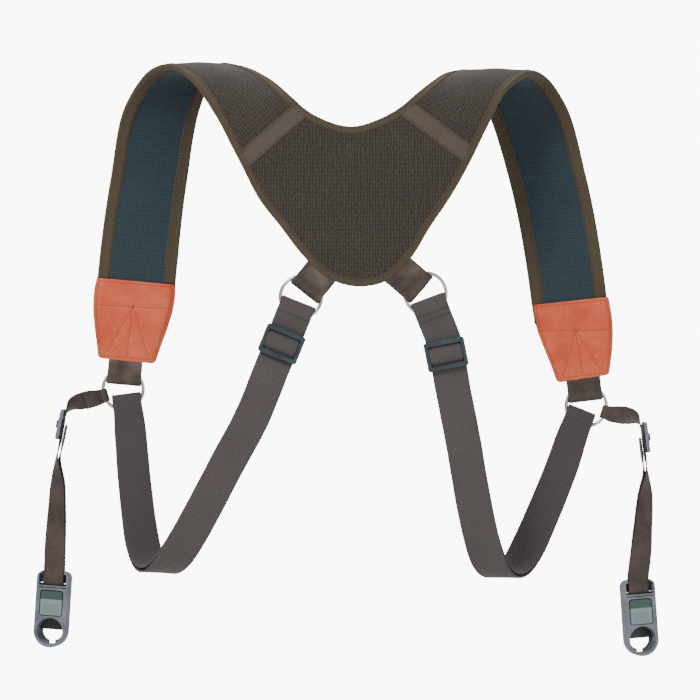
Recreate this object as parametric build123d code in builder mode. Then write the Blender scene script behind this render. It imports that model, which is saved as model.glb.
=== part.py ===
"""Binocular harness: a padded back yoke with two shoulder straps, elastic straps and quick-release tethers.

Frame: +Z up, +Y from the wearer's back to the chest, +X to the wearer's right.
Origin: on the flat inner face of the yoke, which rests on the wearer's back. Millimetres.
"""
import os
from math import cos, radians, sin

from build123d import *

os.makedirs("parts", exist_ok=True)

# ---- padded yoke and shoulder straps ----
PAD = 5.0                 # total thickness of the padding
SKIN = 1.0                # outer fabric and lining
GLUE = 0.05               # glue line between two layers
BINDING = 2.0             # width of the edge binding beside the layers
BINDING_THICK = 5.8
BINDING_OUT = 0.4         # how far the binding stands past each face
TAPE_WIDTH = 12.5
TAPE_THICK = 1.0
TAPE_SHORT = 4.0          # the tape stops this far short of the bindings, in all
MIDDLE_Y = -PAD / 2       # middle of the yoke's thickness
FRONT_Y = 65.0            # middle plane of the strap ends, the front rings and the tethers

# Yoke outline in X, Z: neckline, right side, rounded foot, left side
NECKLINE = [(-34.4, 64.5), (-21, 56.5), (0, 51.2), (20, 56.8), (35.8, 65.9)]
RIGHT_SIDE = [(84.3, 30), (69, 2.6), (54.8, -18.5), (40.8, -40.9)]
FOOT = [(40.8, -40.9), (23.2, -57), (2, -60.4), (-17, -54.4), (-31.6, -41.6)]
LEFT_SIDE = [(-31.6, -41.6), (-50.6, -17.7), (-64.7, 0.5), (-78, 26)]

# Shoulder straps: the two edges, the one nearer -X first, from the yoke seam over the shoulder
# and down the chest
SHOULDER_EDGES = {
    "left": [
        ((-78, MIDDLE_Y, 26), (-34.4, MIDDLE_Y, 64.5)),
        ((-82.2, MIDDLE_Y, 34), (-41, MIDDLE_Y, 70.5)),
        ((-95.7, 1, 59.8), (-56.5, 14, 84.5)),
        ((-115.5, 13, 87.5), (-80.1, 44, 96.5)),
        ((-129.7, 26, 96), (-92.1, 61, 98.5)),
        ((-144.8, 42, 93), (-101.1, 71, 93.5)),
        ((-161.4, 58, 73.2), (-109.4, 76, 74)),
        ((-174.1, 66, 17.2), (-119.8, 73, 17.5)),
        ((-183.3, FRONT_Y, -52.9), (-127.9, FRONT_Y, -57.9)),
        ((-184.6, FRONT_Y, -68), (-129.4, FRONT_Y, -73)),
    ],
    "right": [
        ((35.8, MIDDLE_Y, 65.9), (84.3, MIDDLE_Y, 30)),
        ((42.6, MIDDLE_Y, 71.8), (88.2, MIDDLE_Y, 38)),
        ((53.6, 7, 81.2), (95.7, 1, 53.5)),
        ((69.1, 36, 91.5), (112, 14, 81.5)),
        ((79, 52, 93.5), (126.9, 28, 91.5)),
        ((88, 64, 90), (138.4, 43, 89)),
        ((99.2, 73, 66.6), (152.9, 59, 72)),
        ((113.7, 71, 19.6), (168.5, 66, 20.9)),
        ((130.2, FRONT_Y, -72.4), (183.5, FRONT_Y, -66.6)),
        ((131.9, FRONT_Y, -87), (185.1, FRONT_Y, -81)),
    ],
}

# ---- leather caps, outlines in X, Z ----
LEATHER = 1.4
LEATHER_GAP = 0.1
LEATHER_OUTLINES = {
    "left": [(-184.3, -54), (-186.9, -73), (-183.3, -111.4), (-142.3, -115.7), (-128.4, -73.1), (-127.4, -59)],
    "right": [(185.3, -67.8), (188.5, -91), (185.6, -123.6), (148.2, -129.4), (133, -87.5), (129.6, -73.8)],
}

# ---- steel rings and the webbing loops that hold them ----
RING_RADIUS = 14.5
WIRE_RADIUS = 1.3
LOOP_HOLE = 2.8           # gap between the two plies of a loop, round the wire
SATIN = 1.1
SATIN_WIDTH = 24.5
LOOP_START = 3.3          # distance from the ring's centre to the outside of a loop's fold
LOOP_TAIL = 13.0
YOKE_LOOP_ENDS = (21.3, 18.5)   # where the loop and the hole in it end, from the ring's centre
FRONT_LOOP_ENDS = (34.0, 20.0)
POCKET_START = 10.0
POCKET_CLEARANCE = 0.6
YOKE_RINGS = {"left": (-35.9, -68.3), "right": (51.7, -65.9)}
YOKE_LOOP_DIRECTION = {"left": (0.626, 0.780), "right": (-0.759, 0.651)}
FRONT_RINGS = {"left": (-165.3, -134.1), "right": (169.3, -146.0)}
FRONT_LOOP_DIRECTION = {"left": (0.09, 0.996), "right": (-0.12, 0.993)}

# ---- elastic lower straps: centre, and the direction across the strap ----
ELASTIC = 1.4
ELASTIC_WIDTH = 25.0
ELASTIC_EYE_WIDTH = 21.0  # gathered where it shares the front ring with the tether
ELASTIC_EYE_SHIFT = 1.7
YOKE_EYE_ENDS = (21.5, 17.0)
FRONT_EYE_ENDS = (22.0, 17.0)
RETURN_START = 4.0        # the run back up ends this far below the slider's centre
PLY_GAP = 0.3
STRAP_DOWN = {"left": (-0.378, -0.926), "right": (0.355, -0.935)}
SLIDE_DOWN = {"left": (-0.378, -0.926), "right": (0.194, -0.981)}
LOWER_STRAPS = {
    "left": [
        ((-44.2, MIDDLE_Y, -88.7), (0.926, 0, -0.378)),
        ((-72.3, MIDDLE_Y, -157.5), (0.92, 0, -0.39)),
        ((-84.3, -1.0, -179), (0.89, 0, -0.45)),
        ((-102.2, 2.5, -213), (0.89, 0.05, -0.45)),
        ((-114.6, 6, -236), (0.88, 0.15, -0.45)),
        ((-127, 14, -255.5), (0.83, 0.4, -0.38)),
        ((-136.5, 27, -264), (0.8, 0.58, -0.12)),
        ((-144.5, 42, -262), (0.83, 0.55, 0.05)),
        ((-150.4, 53, -247), (0.93, 0.32, 0.13)),
        ((-154.2, 58, -222), (0.985, 0.1, 0.13)),
        ((-158.3, 62, -184), (0.99, 0, 0.12)),
        ((-160.9, FRONT_Y + 0.85, -157.5), (0.99, 0, 0.13)),
    ],
    "right": [
        ((59.5, MIDDLE_Y, -86.4), (0.935, 0, 0.355)),
        ((63.6, MIDDLE_Y, -96), (0.981, 0, 0.194)),
        ((78.2, MIDDLE_Y, -169.6), (0.981, 0, 0.194)),
        ((84.3, 1.5, -205), (0.98, -0.04, 0.19)),
        ((90.6, 5.5, -236), (0.96, -0.12, 0.25)),
        ((97.5, 14, -258), (0.9, -0.38, 0.22)),
        ((106, 27, -267.5), (0.84, -0.54, 0.05)),
        ((115.5, 42, -265.5), (0.85, -0.52, -0.05)),
        ((125.5, 53.5, -250), (0.9, -0.3, -0.3)),
        ((138.7, 58.5, -221), (0.92, -0.1, -0.38)),
        ((153.2, 62.5, -185), (0.925, 0, -0.38)),
        ((159.7, FRONT_Y + 0.85, -167), (0.93, 0, -0.364)),
    ],
}
FRONT_EYE_DIRECTION = {"left": (0.128, -0.992), "right": (-0.364, -0.931)}

# ---- sliders ----
SLIDER_CENTRES = {"left": (-49.4, -101.4), "right": (66.1, -108.7)}
SLIDER_THICK = 3.2
SLIDER_CLEARANCE = 0.3
SLIDER_SIZE = (29.0, 21.0)
SLIDER_WINDOW = (23.4, 5.7)
SLIDER_BAR = 2.8
SLIDER_CORNER = 2.2
SLIDER_ROUNDING = 1.0
WINDOW_CORNER = 0.8
SMALL_SLIDER_SIZE = (20.0, 22.0)
SMALL_SLIDER_WINDOW = (15.8, 6.6)
SMALL_SLIDER_THICK = 2.6
BIGHT_PLY = 1.1
SMALL_BIGHT_PLY = 0.9
BIGHT_CLEARANCE = 0.3     # round the centre bar
BIGHT_SIDE = 0.6          # narrower than the window by this much
BIGHT_LEAN = 1.3          # how far each leg leans away from the bar

# ---- tethers ----
TETHER = 1.0
TETHER_WIDTH = 15.0
TETHER_EYE_WIDTH = 10.0
TETHER_EYE_HOLE = 1.85
TETHER_EYE_DROP = 18.0    # degrees below level, round the ring
TETHER_TOP_THICK = 1.6
HINGE_GAP = 1.0
TETHER_HINGES = {"left": (-204.6, -147), "right": (207.5, -156)}
TETHER_DOWN = {"left": (-0.2, -0.98), "right": (0.12, -0.993)}
TETHER_STRAIGHT = 36.0
SMALL_SLIDER_DROP = 13.0
TETHER_TOPS = {
    "left": [
        ((-181.5, -139.3), (-0.26, -0.5, 0.83), 11),
        ((-187, -140.9), (-0.2, -0.72, 0.66), 14),
        ((-193.5, -142.6), (-0.1, -0.85, 0.5), 15),
        ((-199.5, -144.6), (0, -1, 0), 15),
    ],
    "right": [
        ((185.5, -151.2), (0.26, 0.5, 0.83), 11),
        ((191, -152), (0.2, 0.72, 0.66), 14),
        ((197.5, -153), (0.1, 0.85, 0.5), 15),
        ((203, -154.3), (0, 1, 0), 15),
    ],
}
TETHER_ACROSS = {"left": (0, -1, 0), "right": (0, 1, 0)}
TETHER_TWISTS = {         # centre, across, half the gap between the plies
    "left": [
        ((-212.4, FRONT_Y, -203), (0.45, -0.89, 0), 2.3),
        ((-213.2, 64.5, -226), (0.86, -0.51, 0), 2.6),
        ((-214.2, 64, -248), (0.98, -0.19, -0.05), 2.4),
    ],
    "right": [
        ((211.6, FRONT_Y, -212), (0.4, 0.92, 0), 2.3),
        ((210, 64.5, -234), (0.78, 0.63, 0), 2.6),
        ((208.4, 64, -254), (0.97, 0.22, 0.05), 2.4),
    ],
}
SLIDER_HALF_GAP = 1.4
EYE_HALF_GAP = 1.9        # from the cross pin's axis to the middle of a ply
TETHER_LANDING = [(10.0, EYE_HALF_GAP + 0.1), (0.1, EYE_HALF_GAP)]   # height over the pin, half gap
RETURN_SHARE = 0.4        # the return ply ends this share of the way down the straight
WIRE_SAGITTA = 0.45       # half the wire's bow across the tether's eye

# ---- quick-release connectors: distances from the cross pin ----
CONNECTOR_PINS = {"left": (-215.3, 63.0, -274.0), "right": (206.7, 63.0, -280.2)}
CONNECTOR_TILT = {"left": 3.6, "right": -3.9}
CONNECTOR_YAW = {"left": -9.0, "right": 11.0}
BODY_WIDTH = 24.0
BODY_TOP = 9.0
BODY_BOTTOM = -46.3
BODY_HALF_DEPTH = 6.0
SHELL_SEAM = 0.05
RIM = 2.0
BODY_CORNER = 5.0
BODY_ROUNDING = 1.2
RECESS_LOW = 3.2          # the pin's recess goes this far below the pin
RECESS_DEPTH = 3.5        # and this far behind the shells' seam
TETHER_ROOM = 1.2
KEEPER_BAR = (1.2, -2.0, 4.8)   # the bar across the recess: its height, its place, its rear face
PIN_RADIUS = 1.1
PIN_LENGTH = 22.0
PIN_HEIGHT = 2.0          # the pin's place in front of the shells' seam
PIN_FIT = 0.03
SOCKET_Y = -34.3
SOCKET_RADIUS = 9.6
BACK_SOCKET_RADIUS = 9.2
FLANGE_RADIUS = 7.4
FLANGE_THICK = 1.2
NOTCH = (4.2, 2.0)
BUTTON_SIZE = (15.8, 17.4)
BUTTON_Y = -14.1
BUTTON_GAP = 0.7
BUTTON_CORNER = 1.7
BUTTON_FLOOR = 0.2        # left under the button when it is pressed
BUTTON_FLANGE_THICK = 1.6
BUTTON_RIBS = (5, 1.6)    # how many, and their spacing
BUTTON_RIB_SIZE = (11.8, 0.7)
BUTTON_RIB_PROUD = 0.3
BUTTON_RIB_DROP = 4.2
FLANGE_POCKET = 3.6
BUTTON_PROUD = 0.3
BUTTON_TRAVEL = 1.5
BUTTON_FLANGE = (17.8, 19.4)
LATCH_SIZE = (16.8, 15.6)
LATCH_LOW = -33.6
LATCH_TRAVEL = 3.0
LATCH_THICK = 1.8
LATCH_FACE = -2.5
LATCH_ROOM = 0.8          # round the latch
LATCH_CLEARANCE = 0.3     # in front of it
BUTTON_SPRING_Y = -10.5
BUTTON_SPRING_RADIUS = 2.4
BUTTON_SPRING_WALL = 0.5
BUTTON_SPRING_LENGTH = 4.3
LATCH_SPRING_X = 6.0
LATCH_SPRING_LOW = -14.3
LATCH_SPRING_LENGTH = 6.0
LATCH_SPRING_Z = -3.5
LATCH_SPRING_RADIUS = 1.0
LATCH_SPRING_WALL = 0.4
SPRING_END_GAP = 0.1

SIDES = ("left", "right")


def save(part, label):
    """Name a finished sub-part and write it."""
    part.label = label
    export_step(part, f"parts/{label}.step")


def in_xz(point, y):
    """Place an X, Z pair at a depth."""
    return (point[0], y, point[1])


def section_planes(stations):
    """Planes square to a strap's run at each station, with x across the strap."""
    planes = []
    last = len(stations) - 1
    for index, (centre, across, _) in enumerate(stations):
        before = Vector(*stations[max(index - 1, 0)][0])
        after = Vector(*stations[min(index + 1, last)][0])
        side = Vector(*across).normalized()
        along = after - before
        along = along - side * along.dot(side)
        planes.append(Plane(origin=centre, x_dir=side, z_dir=along))
    return planes


def span_by_span(planes, sections):
    """A solid lofted from each section to the next; a section is (x, y, width, thickness)."""
    with BuildPart() as strap:
        for index in range(len(planes) - 1):
            for plane, section in zip(planes[index:index + 2], sections[index:index + 2]):
                x, y, width, thickness = section
                with BuildSketch(plane):
                    with Locations((x, y)):
                        Rectangle(width, thickness)
            loft(ruled=True)
    return strap.part


def ribbon(stations, low, high, shifts=None, inset=0.0):
    """A flat strap through stations of (centre, across, width), between two depths."""
    shifts = shifts or [0] * len(stations)
    sections = []
    for (_, _, width), shift in zip(stations, shifts):
        sections.append((0, shift + (low + high) / 2, width - 2 * inset, high - low))
    return span_by_span(section_planes(stations), sections)


def edge_strip(stations, edge):
    """The binding along one edge of a padded strap: edge is -1 or 1."""
    strip = BINDING - GLUE
    sections = [(edge * (width - strip) / 2, 0, strip, BINDING_THICK) for _, _, width in stations]
    return span_by_span(section_planes(stations), sections)


def edge_stations(edges):
    """Strap stations from the two edges of a padded strap."""
    stations = []
    for low_edge, high_edge in edges:
        start = Vector(*low_edge)
        span = Vector(*high_edge) - start
        stations.append((tuple(start + span / 2), tuple(span.normalized()), span.length))
    return stations


def towards(start, finish, amount):
    """The point a given distance from start on the way to finish."""
    step = (Vector(*finish) - Vector(*start)).normalized() * amount
    return (start[0] + step.X, start[1] + step.Y)


def moved_in(points, amount, first_seam_end, last_seam_end):
    """A run of the outline moved inwards; its two ends move along the seams that they start."""
    moved = [towards(points[0], first_seam_end, amount)]
    for before, point, after in zip(points, points[1:], points[2:]):
        run = (Vector(*after) - Vector(*before)).normalized()
        moved.append((point[0] + run.Y * amount, point[1] - run.X * amount))
    moved.append(towards(points[-1], last_seam_end, amount))
    return moved


def yoke_face(inset):
    """The yoke's face, moved in from its free edges but not from its shoulder seams."""
    lower = RIGHT_SIDE + FOOT[1:] + LEFT_SIDE[1:]
    neck = moved_in(NECKLINE, inset, LEFT_SIDE[-1], RIGHT_SIDE[0])
    lower = moved_in(lower, inset, NECKLINE[-1], NECKLINE[0])
    foot_start = len(RIGHT_SIDE) - 1
    foot_end = foot_start + len(FOOT) - 1
    with BuildSketch() as face:
        with BuildLine():
            Spline(*neck)
            Line(neck[-1], lower[0])
            Spline(*lower[:foot_start + 1])
            Spline(*lower[foot_start:foot_end + 1])
            Spline(*lower[foot_end:])
            Line(lower[-1], neck[0])
        make_face()
    return face.sketch


def yoke_layer(low_y, high_y):
    """One layer of the yoke panel, inside its binding."""
    with BuildPart() as layer:
        with BuildSketch(Plane.XZ.offset(-high_y)):
            add(yoke_face(BINDING))
        extrude(amount=high_y - low_y)
    return layer.part


def loop_pocket(side):
    """The room that a yoke ring's webbing tail takes between the yoke's skins."""
    toward = YOKE_LOOP_DIRECTION[side]
    ring = YOKE_RINGS[side]
    plane = Plane(origin=in_xz(ring, MIDDLE_Y), x_dir=in_xz(toward, 0), z_dir=(0, -1, 0))
    reach = YOKE_LOOP_ENDS[0] + LOOP_TAIL + 1
    with BuildPart() as pocket:
        with BuildSketch(plane.offset(-PAD / 2 + SKIN + GLUE)):
            with Locations(((POCKET_START + reach) / 2, 0)):
                Rectangle(reach - POCKET_START, SATIN_WIDTH + POCKET_CLEARANCE)
        extrude(amount=PAD - 2 * SKIN - 2 * GLUE)
    return pocket.part


def webbing_loop(ring, y, toward, width, ends, tail=0.0, shift=0.0):
    """Webbing folded round a ring's wire: a flat racetrack across the wire, with a tail to sew."""
    across = Vector(*in_xz(toward, 0)).cross(Vector(0, 1, 0)).normalized()
    origin = Vector(*in_xz(ring, y)) + across * shift
    plane = Plane(origin=origin, x_dir=in_xz(toward, 0), z_dir=across)
    end, hole_end = ends
    hole_start = LOOP_START + SATIN
    with BuildPart() as loop:
        with BuildSketch(plane):
            with Locations(((LOOP_START + end) / 2, 0)):
                SlotOverall(end - LOOP_START, LOOP_HOLE + 2 * SATIN)
            with Locations(((hole_start + hole_end) / 2, 0)):
                SlotOverall(hole_end - hole_start, LOOP_HOLE, mode=Mode.SUBTRACT)
            if tail:
                with Locations((end + (tail - SATIN) / 2, 0)):
                    Rectangle(tail + SATIN, 2 * SATIN)
        extrude(amount=width / 2, both=True)
    return loop.part


def slider_frame(plane, size, window, bar, thick):
    """A three-bar slider: two windows either side of its centre bar."""
    with BuildPart() as frame:
        with BuildSketch(plane):
            RectangleRounded(*size, SLIDER_CORNER)
            with Locations((0, (bar + window[1]) / 2), (0, -(bar + window[1]) / 2)):
                RectangleRounded(*window, WINDOW_CORNER, mode=Mode.SUBTRACT)
        extrude(amount=thick)
        front = frame.faces().sort_by(Axis(plane.origin, plane.z_dir))[-1]
        fillet(front.outer_wire().edges(), SLIDER_ROUNDING)
    return frame.part


def slider_fold(plane, width, thick, ply):
    """The bight of webbing that goes over a slider's centre bar."""
    side = Plane(origin=plane.origin, x_dir=plane.y_dir, z_dir=plane.x_dir)
    inner = SLIDER_BAR / 2 + BIGHT_CLEARANCE
    outer = inner + ply
    under = thick + BIGHT_CLEARANCE
    half_profile = [(0, under + ply), (outer, under + ply), (outer + BIGHT_LEAN, 0), (inner + BIGHT_LEAN, 0),
                    (inner, under)]
    with BuildPart() as fold:
        with BuildSketch(side):
            with BuildLine():
                Polyline(*half_profile, *[(-x, y) for x, y in reversed(half_profile)], close=True)
            make_face()
        extrude(amount=width / 2, both=True)
    return fold.part


def steel_ring(ring, y):
    """A welded wire ring that lies square to Y."""
    centre = in_xz(ring, y)
    with BuildPart() as hoop:
        with BuildSketch(Plane(origin=centre, x_dir=(1, 0, 0), z_dir=(0, 0, 1))):
            with Locations((RING_RADIUS, 0)):
                Circle(WIRE_RADIUS)
        revolve(axis=Axis(centre, (0, 1, 0)))
    return hoop.part


def connector_plane(side):
    """The connector's own frame: origin on its pin's axis, x across, y up, z out of its front."""
    tilt = radians(CONNECTOR_TILT[side])
    yaw = radians(CONNECTOR_YAW[side])
    up = Vector(sin(tilt), 0, cos(tilt))
    out = Vector(sin(yaw), -cos(yaw), 0)
    across = up.cross(out).normalized()
    out = across.cross(up).normalized()
    origin = Vector(*CONNECTOR_PINS[side]) - out * PIN_HEIGHT
    return Plane(origin=origin, x_dir=across, z_dir=out)


def body_outline():
    """The connector's outline: a round foot and two rounded shoulders."""
    half = BODY_WIDTH / 2
    corner = BODY_CORNER
    foot = BODY_BOTTOM + half
    with BuildSketch() as outline:
        with BuildLine():
            Line((-half + corner, BODY_TOP), (half - corner, BODY_TOP))
            RadiusArc((half - corner, BODY_TOP), (half, BODY_TOP - corner), corner)
            Line((half, BODY_TOP - corner), (half, foot))
            ThreePointArc((half, foot), (0, BODY_BOTTOM), (-half, foot))
            Line((-half, foot), (-half, BODY_TOP - corner))
            RadiusArc((-half, BODY_TOP - corner), (-half + corner, BODY_TOP), corner)
        make_face()
    return outline.sketch


def pin_plane(plane):
    """The plane across a connector's pin, at its middle."""
    centre = plane.from_local_coords((0, 0, PIN_HEIGHT))
    return Plane(origin=centre, x_dir=plane.y_dir, z_dir=plane.x_dir)


def spring_plane(plane, x, lift=0.0):
    """The plane at the foot of a latch spring."""
    foot = plane.from_local_coords((x, LATCH_SPRING_LOW + lift, LATCH_SPRING_Z))
    return Plane(origin=foot, x_dir=plane.x_dir, z_dir=plane.y_dir)


def connector_front(plane):
    """Front shell: a socket, a window for the button and an open recess for the cross pin."""
    recess_width = BODY_WIDTH - 2 * RIM
    recess_top = BODY_TOP - RIM
    window = [size + 2 * BUTTON_GAP for size in BUTTON_SIZE]
    flange_pocket = [size + 2 * BUTTON_GAP for size in BUTTON_FLANGE]
    with BuildPart() as shell:
        with BuildSketch(plane.offset(SHELL_SEAM)):
            add(body_outline())
        extrude(amount=BODY_HALF_DEPTH - SHELL_SEAM)
        front = shell.faces().sort_by(Axis(plane.origin, plane.z_dir))[-1]
        fillet(front.outer_wire().edges(), BODY_ROUNDING)
        with BuildSketch(plane):
            with Locations((0, SOCKET_Y)):
                Circle(SOCKET_RADIUS)
            with Locations((0, (recess_top - RECESS_LOW) / 2)):
                Rectangle(recess_width, recess_top + RECESS_LOW)
            with Locations((0, recess_top)):
                Rectangle(TETHER_WIDTH + TETHER_ROOM, 2 * RIM + 2)
            with Locations((0, BUTTON_Y)):
                RectangleRounded(*window, BUTTON_CORNER + BUTTON_GAP)
        extrude(amount=BODY_HALF_DEPTH + 1, mode=Mode.SUBTRACT)
        with BuildSketch(plane):
            with Locations((0, BUTTON_Y)):
                Rectangle(*flange_pocket)
        extrude(amount=FLANGE_POCKET, mode=Mode.SUBTRACT)
        with BuildSketch(pin_plane(plane)):
            Circle(PIN_RADIUS + PIN_FIT)
        extrude(amount=PIN_LENGTH / 2 + GLUE, both=True, mode=Mode.SUBTRACT)
        height, place, rear_face = KEEPER_BAR
        with BuildSketch(plane.offset(rear_face)):
            with Locations((0, place)):
                Rectangle(recess_width + 1, height)
        extrude(amount=BODY_HALF_DEPTH - rear_face)
    return shell.part


def connector_back(plane):
    """Back shell: the socket's rear flange with its notch, and pockets for the tether, latch and springs."""
    depth = BODY_HALF_DEPTH - SHELL_SEAM
    with BuildPart() as shell:
        with BuildSketch(plane.offset(-SHELL_SEAM)):
            add(body_outline())
        extrude(amount=-depth)
        back = shell.faces().sort_by(Axis(plane.origin, plane.z_dir))[0]
        fillet(back.outer_wire().edges(), BODY_ROUNDING)
        with BuildSketch(plane):
            with Locations((0, SOCKET_Y)):
                Circle(BACK_SOCKET_RADIUS)
        extrude(amount=-BODY_HALF_DEPTH + FLANGE_THICK, mode=Mode.SUBTRACT)
        with BuildSketch(plane):
            with Locations((0, SOCKET_Y)):
                Circle(FLANGE_RADIUS)
            with Locations((0, SOCKET_Y - FLANGE_RADIUS)):
                Rectangle(NOTCH[0], 2 * NOTCH[1])
        extrude(amount=-BODY_HALF_DEPTH - 1, mode=Mode.SUBTRACT)
        with BuildSketch(plane):
            with Locations((0, (BODY_TOP + 1 - RECESS_LOW) / 2)):
                Rectangle(TETHER_WIDTH + TETHER_ROOM, BODY_TOP + 1 + RECESS_LOW)
        extrude(amount=-RECESS_DEPTH, mode=Mode.SUBTRACT)
        with BuildSketch(plane.offset(LATCH_FACE + LATCH_CLEARANCE)):
            with Locations((0, LATCH_LOW + (LATCH_SIZE[1] + LATCH_TRAVEL) / 2)):
                Rectangle(LATCH_SIZE[0] + LATCH_ROOM, LATCH_SIZE[1] + LATCH_TRAVEL + LATCH_ROOM)
        extrude(amount=-LATCH_THICK - LATCH_CLEARANCE - 0.2, mode=Mode.SUBTRACT)
        with BuildSketch(plane):
            with Locations((0, BUTTON_SPRING_Y)):
                Circle(BUTTON_SPRING_RADIUS + 3 * SPRING_END_GAP)
        extrude(amount=-BUTTON_SPRING_LENGTH - 2 * SPRING_END_GAP, mode=Mode.SUBTRACT)
        for x in (-LATCH_SPRING_X, LATCH_SPRING_X):
            with BuildSketch(spring_plane(plane, x)):
                Circle(LATCH_SPRING_RADIUS + 1.5 * SPRING_END_GAP)
            extrude(amount=LATCH_SPRING_LENGTH + 2 * SPRING_END_GAP, mode=Mode.SUBTRACT)
    return shell.part


def connector_pin(plane):
    """The steel cross pin that the tether goes round."""
    with BuildPart() as pin:
        with BuildSketch(pin_plane(plane)):
            Circle(PIN_RADIUS)
        extrude(amount=PIN_LENGTH / 2, both=True)
    return pin.part


def connector_button(plane):
    """The push button: a ribbed pad on a flange that the front shell keeps in."""
    floor = BUTTON_TRAVEL + BUTTON_FLOOR
    rib_count, rib_pitch = BUTTON_RIBS
    with BuildPart() as button:
        with BuildSketch(plane.offset(floor)):
            with Locations((0, BUTTON_Y)):
                Rectangle(*BUTTON_FLANGE)
        extrude(amount=BUTTON_FLANGE_THICK)
        with BuildSketch(plane.offset(floor)):
            with Locations((0, BUTTON_Y)):
                RectangleRounded(*BUTTON_SIZE, BUTTON_CORNER)
        extrude(amount=BODY_HALF_DEPTH + BUTTON_PROUD - floor)
        with BuildSketch(plane.offset(BODY_HALF_DEPTH + BUTTON_PROUD)):
            with Locations((0, BUTTON_Y - BUTTON_RIB_DROP)):
                with GridLocations(0, rib_pitch, 1, rib_count):
                    RectangleRounded(*BUTTON_RIB_SIZE, BUTTON_RIB_PROUD)
        extrude(amount=BUTTON_RIB_PROUD)
    return button.part


def connector_latch(plane):
    """The latch plate that closes the upper part of the socket's rear hole."""
    with BuildPart() as latch:
        with BuildSketch(plane.offset(LATCH_FACE)):
            with Locations((0, LATCH_LOW + LATCH_SIZE[1] / 2)):
                Rectangle(*LATCH_SIZE)
        extrude(amount=-LATCH_THICK)
    return latch.part


def button_spring(plane):
    """The button's spring, as a sleeve of the coil's size."""
    with BuildPart() as spring:
        with BuildSketch(plane.offset(-SPRING_END_GAP)):
            with Locations((0, BUTTON_SPRING_Y)):
                Circle(BUTTON_SPRING_RADIUS)
                Circle(BUTTON_SPRING_RADIUS - BUTTON_SPRING_WALL, mode=Mode.SUBTRACT)
        extrude(amount=-BUTTON_SPRING_LENGTH)
    return spring.part


def latch_springs(plane):
    """The latch's two springs, as sleeves of the coils' size."""
    with BuildPart() as springs:
        for x in (-LATCH_SPRING_X, LATCH_SPRING_X):
            with BuildSketch(spring_plane(plane, x, SPRING_END_GAP)):
                Circle(LATCH_SPRING_RADIUS)
                Circle(LATCH_SPRING_RADIUS - LATCH_SPRING_WALL, mode=Mode.SUBTRACT)
            extrude(amount=LATCH_SPRING_LENGTH)
    return springs.part


def tether_route(side):
    """The hanging tether's stations: centre, direction across, and half the gap between its plies."""
    start = Vector(*in_xz(TETHER_HINGES[side], FRONT_Y))
    down = Vector(*in_xz(TETHER_DOWN[side], 0)).normalized()
    across = TETHER_ACROSS[side]
    plane = connector_plane(side)
    pin = Vector(*CONNECTOR_PINS[side])
    route = [
        (tuple(start + down * HINGE_GAP), across, SLIDER_HALF_GAP),
        (tuple(start + down * TETHER_STRAIGHT), across, SLIDER_HALF_GAP),
    ]
    route.extend(TETHER_TWISTS[side])
    for height, half_gap in TETHER_LANDING:
        route.append((tuple(pin + plane.y_dir * height), tuple(plane.x_dir), half_gap))
    return route


def tether_ply(route, facing):
    """One ply of the hanging tether, on one side of its centre line."""
    stations = [(centre, across, TETHER_WIDTH) for centre, across, _ in route]
    shifts = [facing * half_gap for _, _, half_gap in route]
    return ribbon(stations, -TETHER / 2, TETHER / 2, shifts)


def pin_eye(plane):
    """The fold of the tether under the connector's cross pin."""
    with BuildPart() as eye:
        with BuildSketch(pin_plane(plane)):
            Circle(EYE_HALF_GAP + TETHER / 2)
            Circle(EYE_HALF_GAP - TETHER / 2, mode=Mode.SUBTRACT)
            with Locations((PIN_LENGTH / 2, 0)):
                Rectangle(PIN_LENGTH, PIN_LENGTH, mode=Mode.SUBTRACT)
        extrude(amount=TETHER_WIDTH / 2, both=True)
    return eye.part


def ring_eye(side):
    """The tether's sewn eye round the front ring's wire, and the plane that it lies on."""
    outward = -1 if side == "left" else 1
    drop = radians(TETHER_EYE_DROP)
    away = Vector(outward * cos(drop), 0, -sin(drop))
    ring = Vector(*in_xz(FRONT_RINGS[side], FRONT_Y))
    centre = ring + away * (RING_RADIUS - WIRE_SAGITTA)
    tangent = away.cross(Vector(0, 1, 0)).normalized()
    plane = Plane(origin=centre, x_dir=away, z_dir=tangent)
    with BuildPart() as eye:
        with BuildSketch(plane):
            Circle(TETHER_EYE_HOLE + TETHER)
            Circle(TETHER_EYE_HOLE, mode=Mode.SUBTRACT)
        extrude(amount=TETHER_EYE_WIDTH / 2, both=True)
    return eye.part


def slider_plane(side):
    """The large slider's plane: on the strap's outer face, x across the strap, y up along it."""
    down = SLIDE_DOWN[side]
    centre = in_xz(SLIDER_CENTRES[side], MIDDLE_Y - ELASTIC / 2 - SLIDER_CLEARANCE)
    return Plane(origin=centre, x_dir=(-down[1], 0, down[0]), z_dir=(0, -1, 0))


def small_slider_plane(side):
    """The small slider's plane: on the tether's outward ply, x across the tether."""
    down = Vector(*in_xz(TETHER_DOWN[side], 0)).normalized()
    outward = Vector(0, 1, 0).cross(down) if side == "left" else down.cross(Vector(0, 1, 0))
    start = Vector(*in_xz(TETHER_HINGES[side], FRONT_Y)) + down * SMALL_SLIDER_DROP
    centre = start + outward * (SLIDER_HALF_GAP + TETHER / 2 + SLIDER_CLEARANCE)
    return Plane(origin=centre, x_dir=(0, 1, 0), z_dir=outward)


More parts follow.
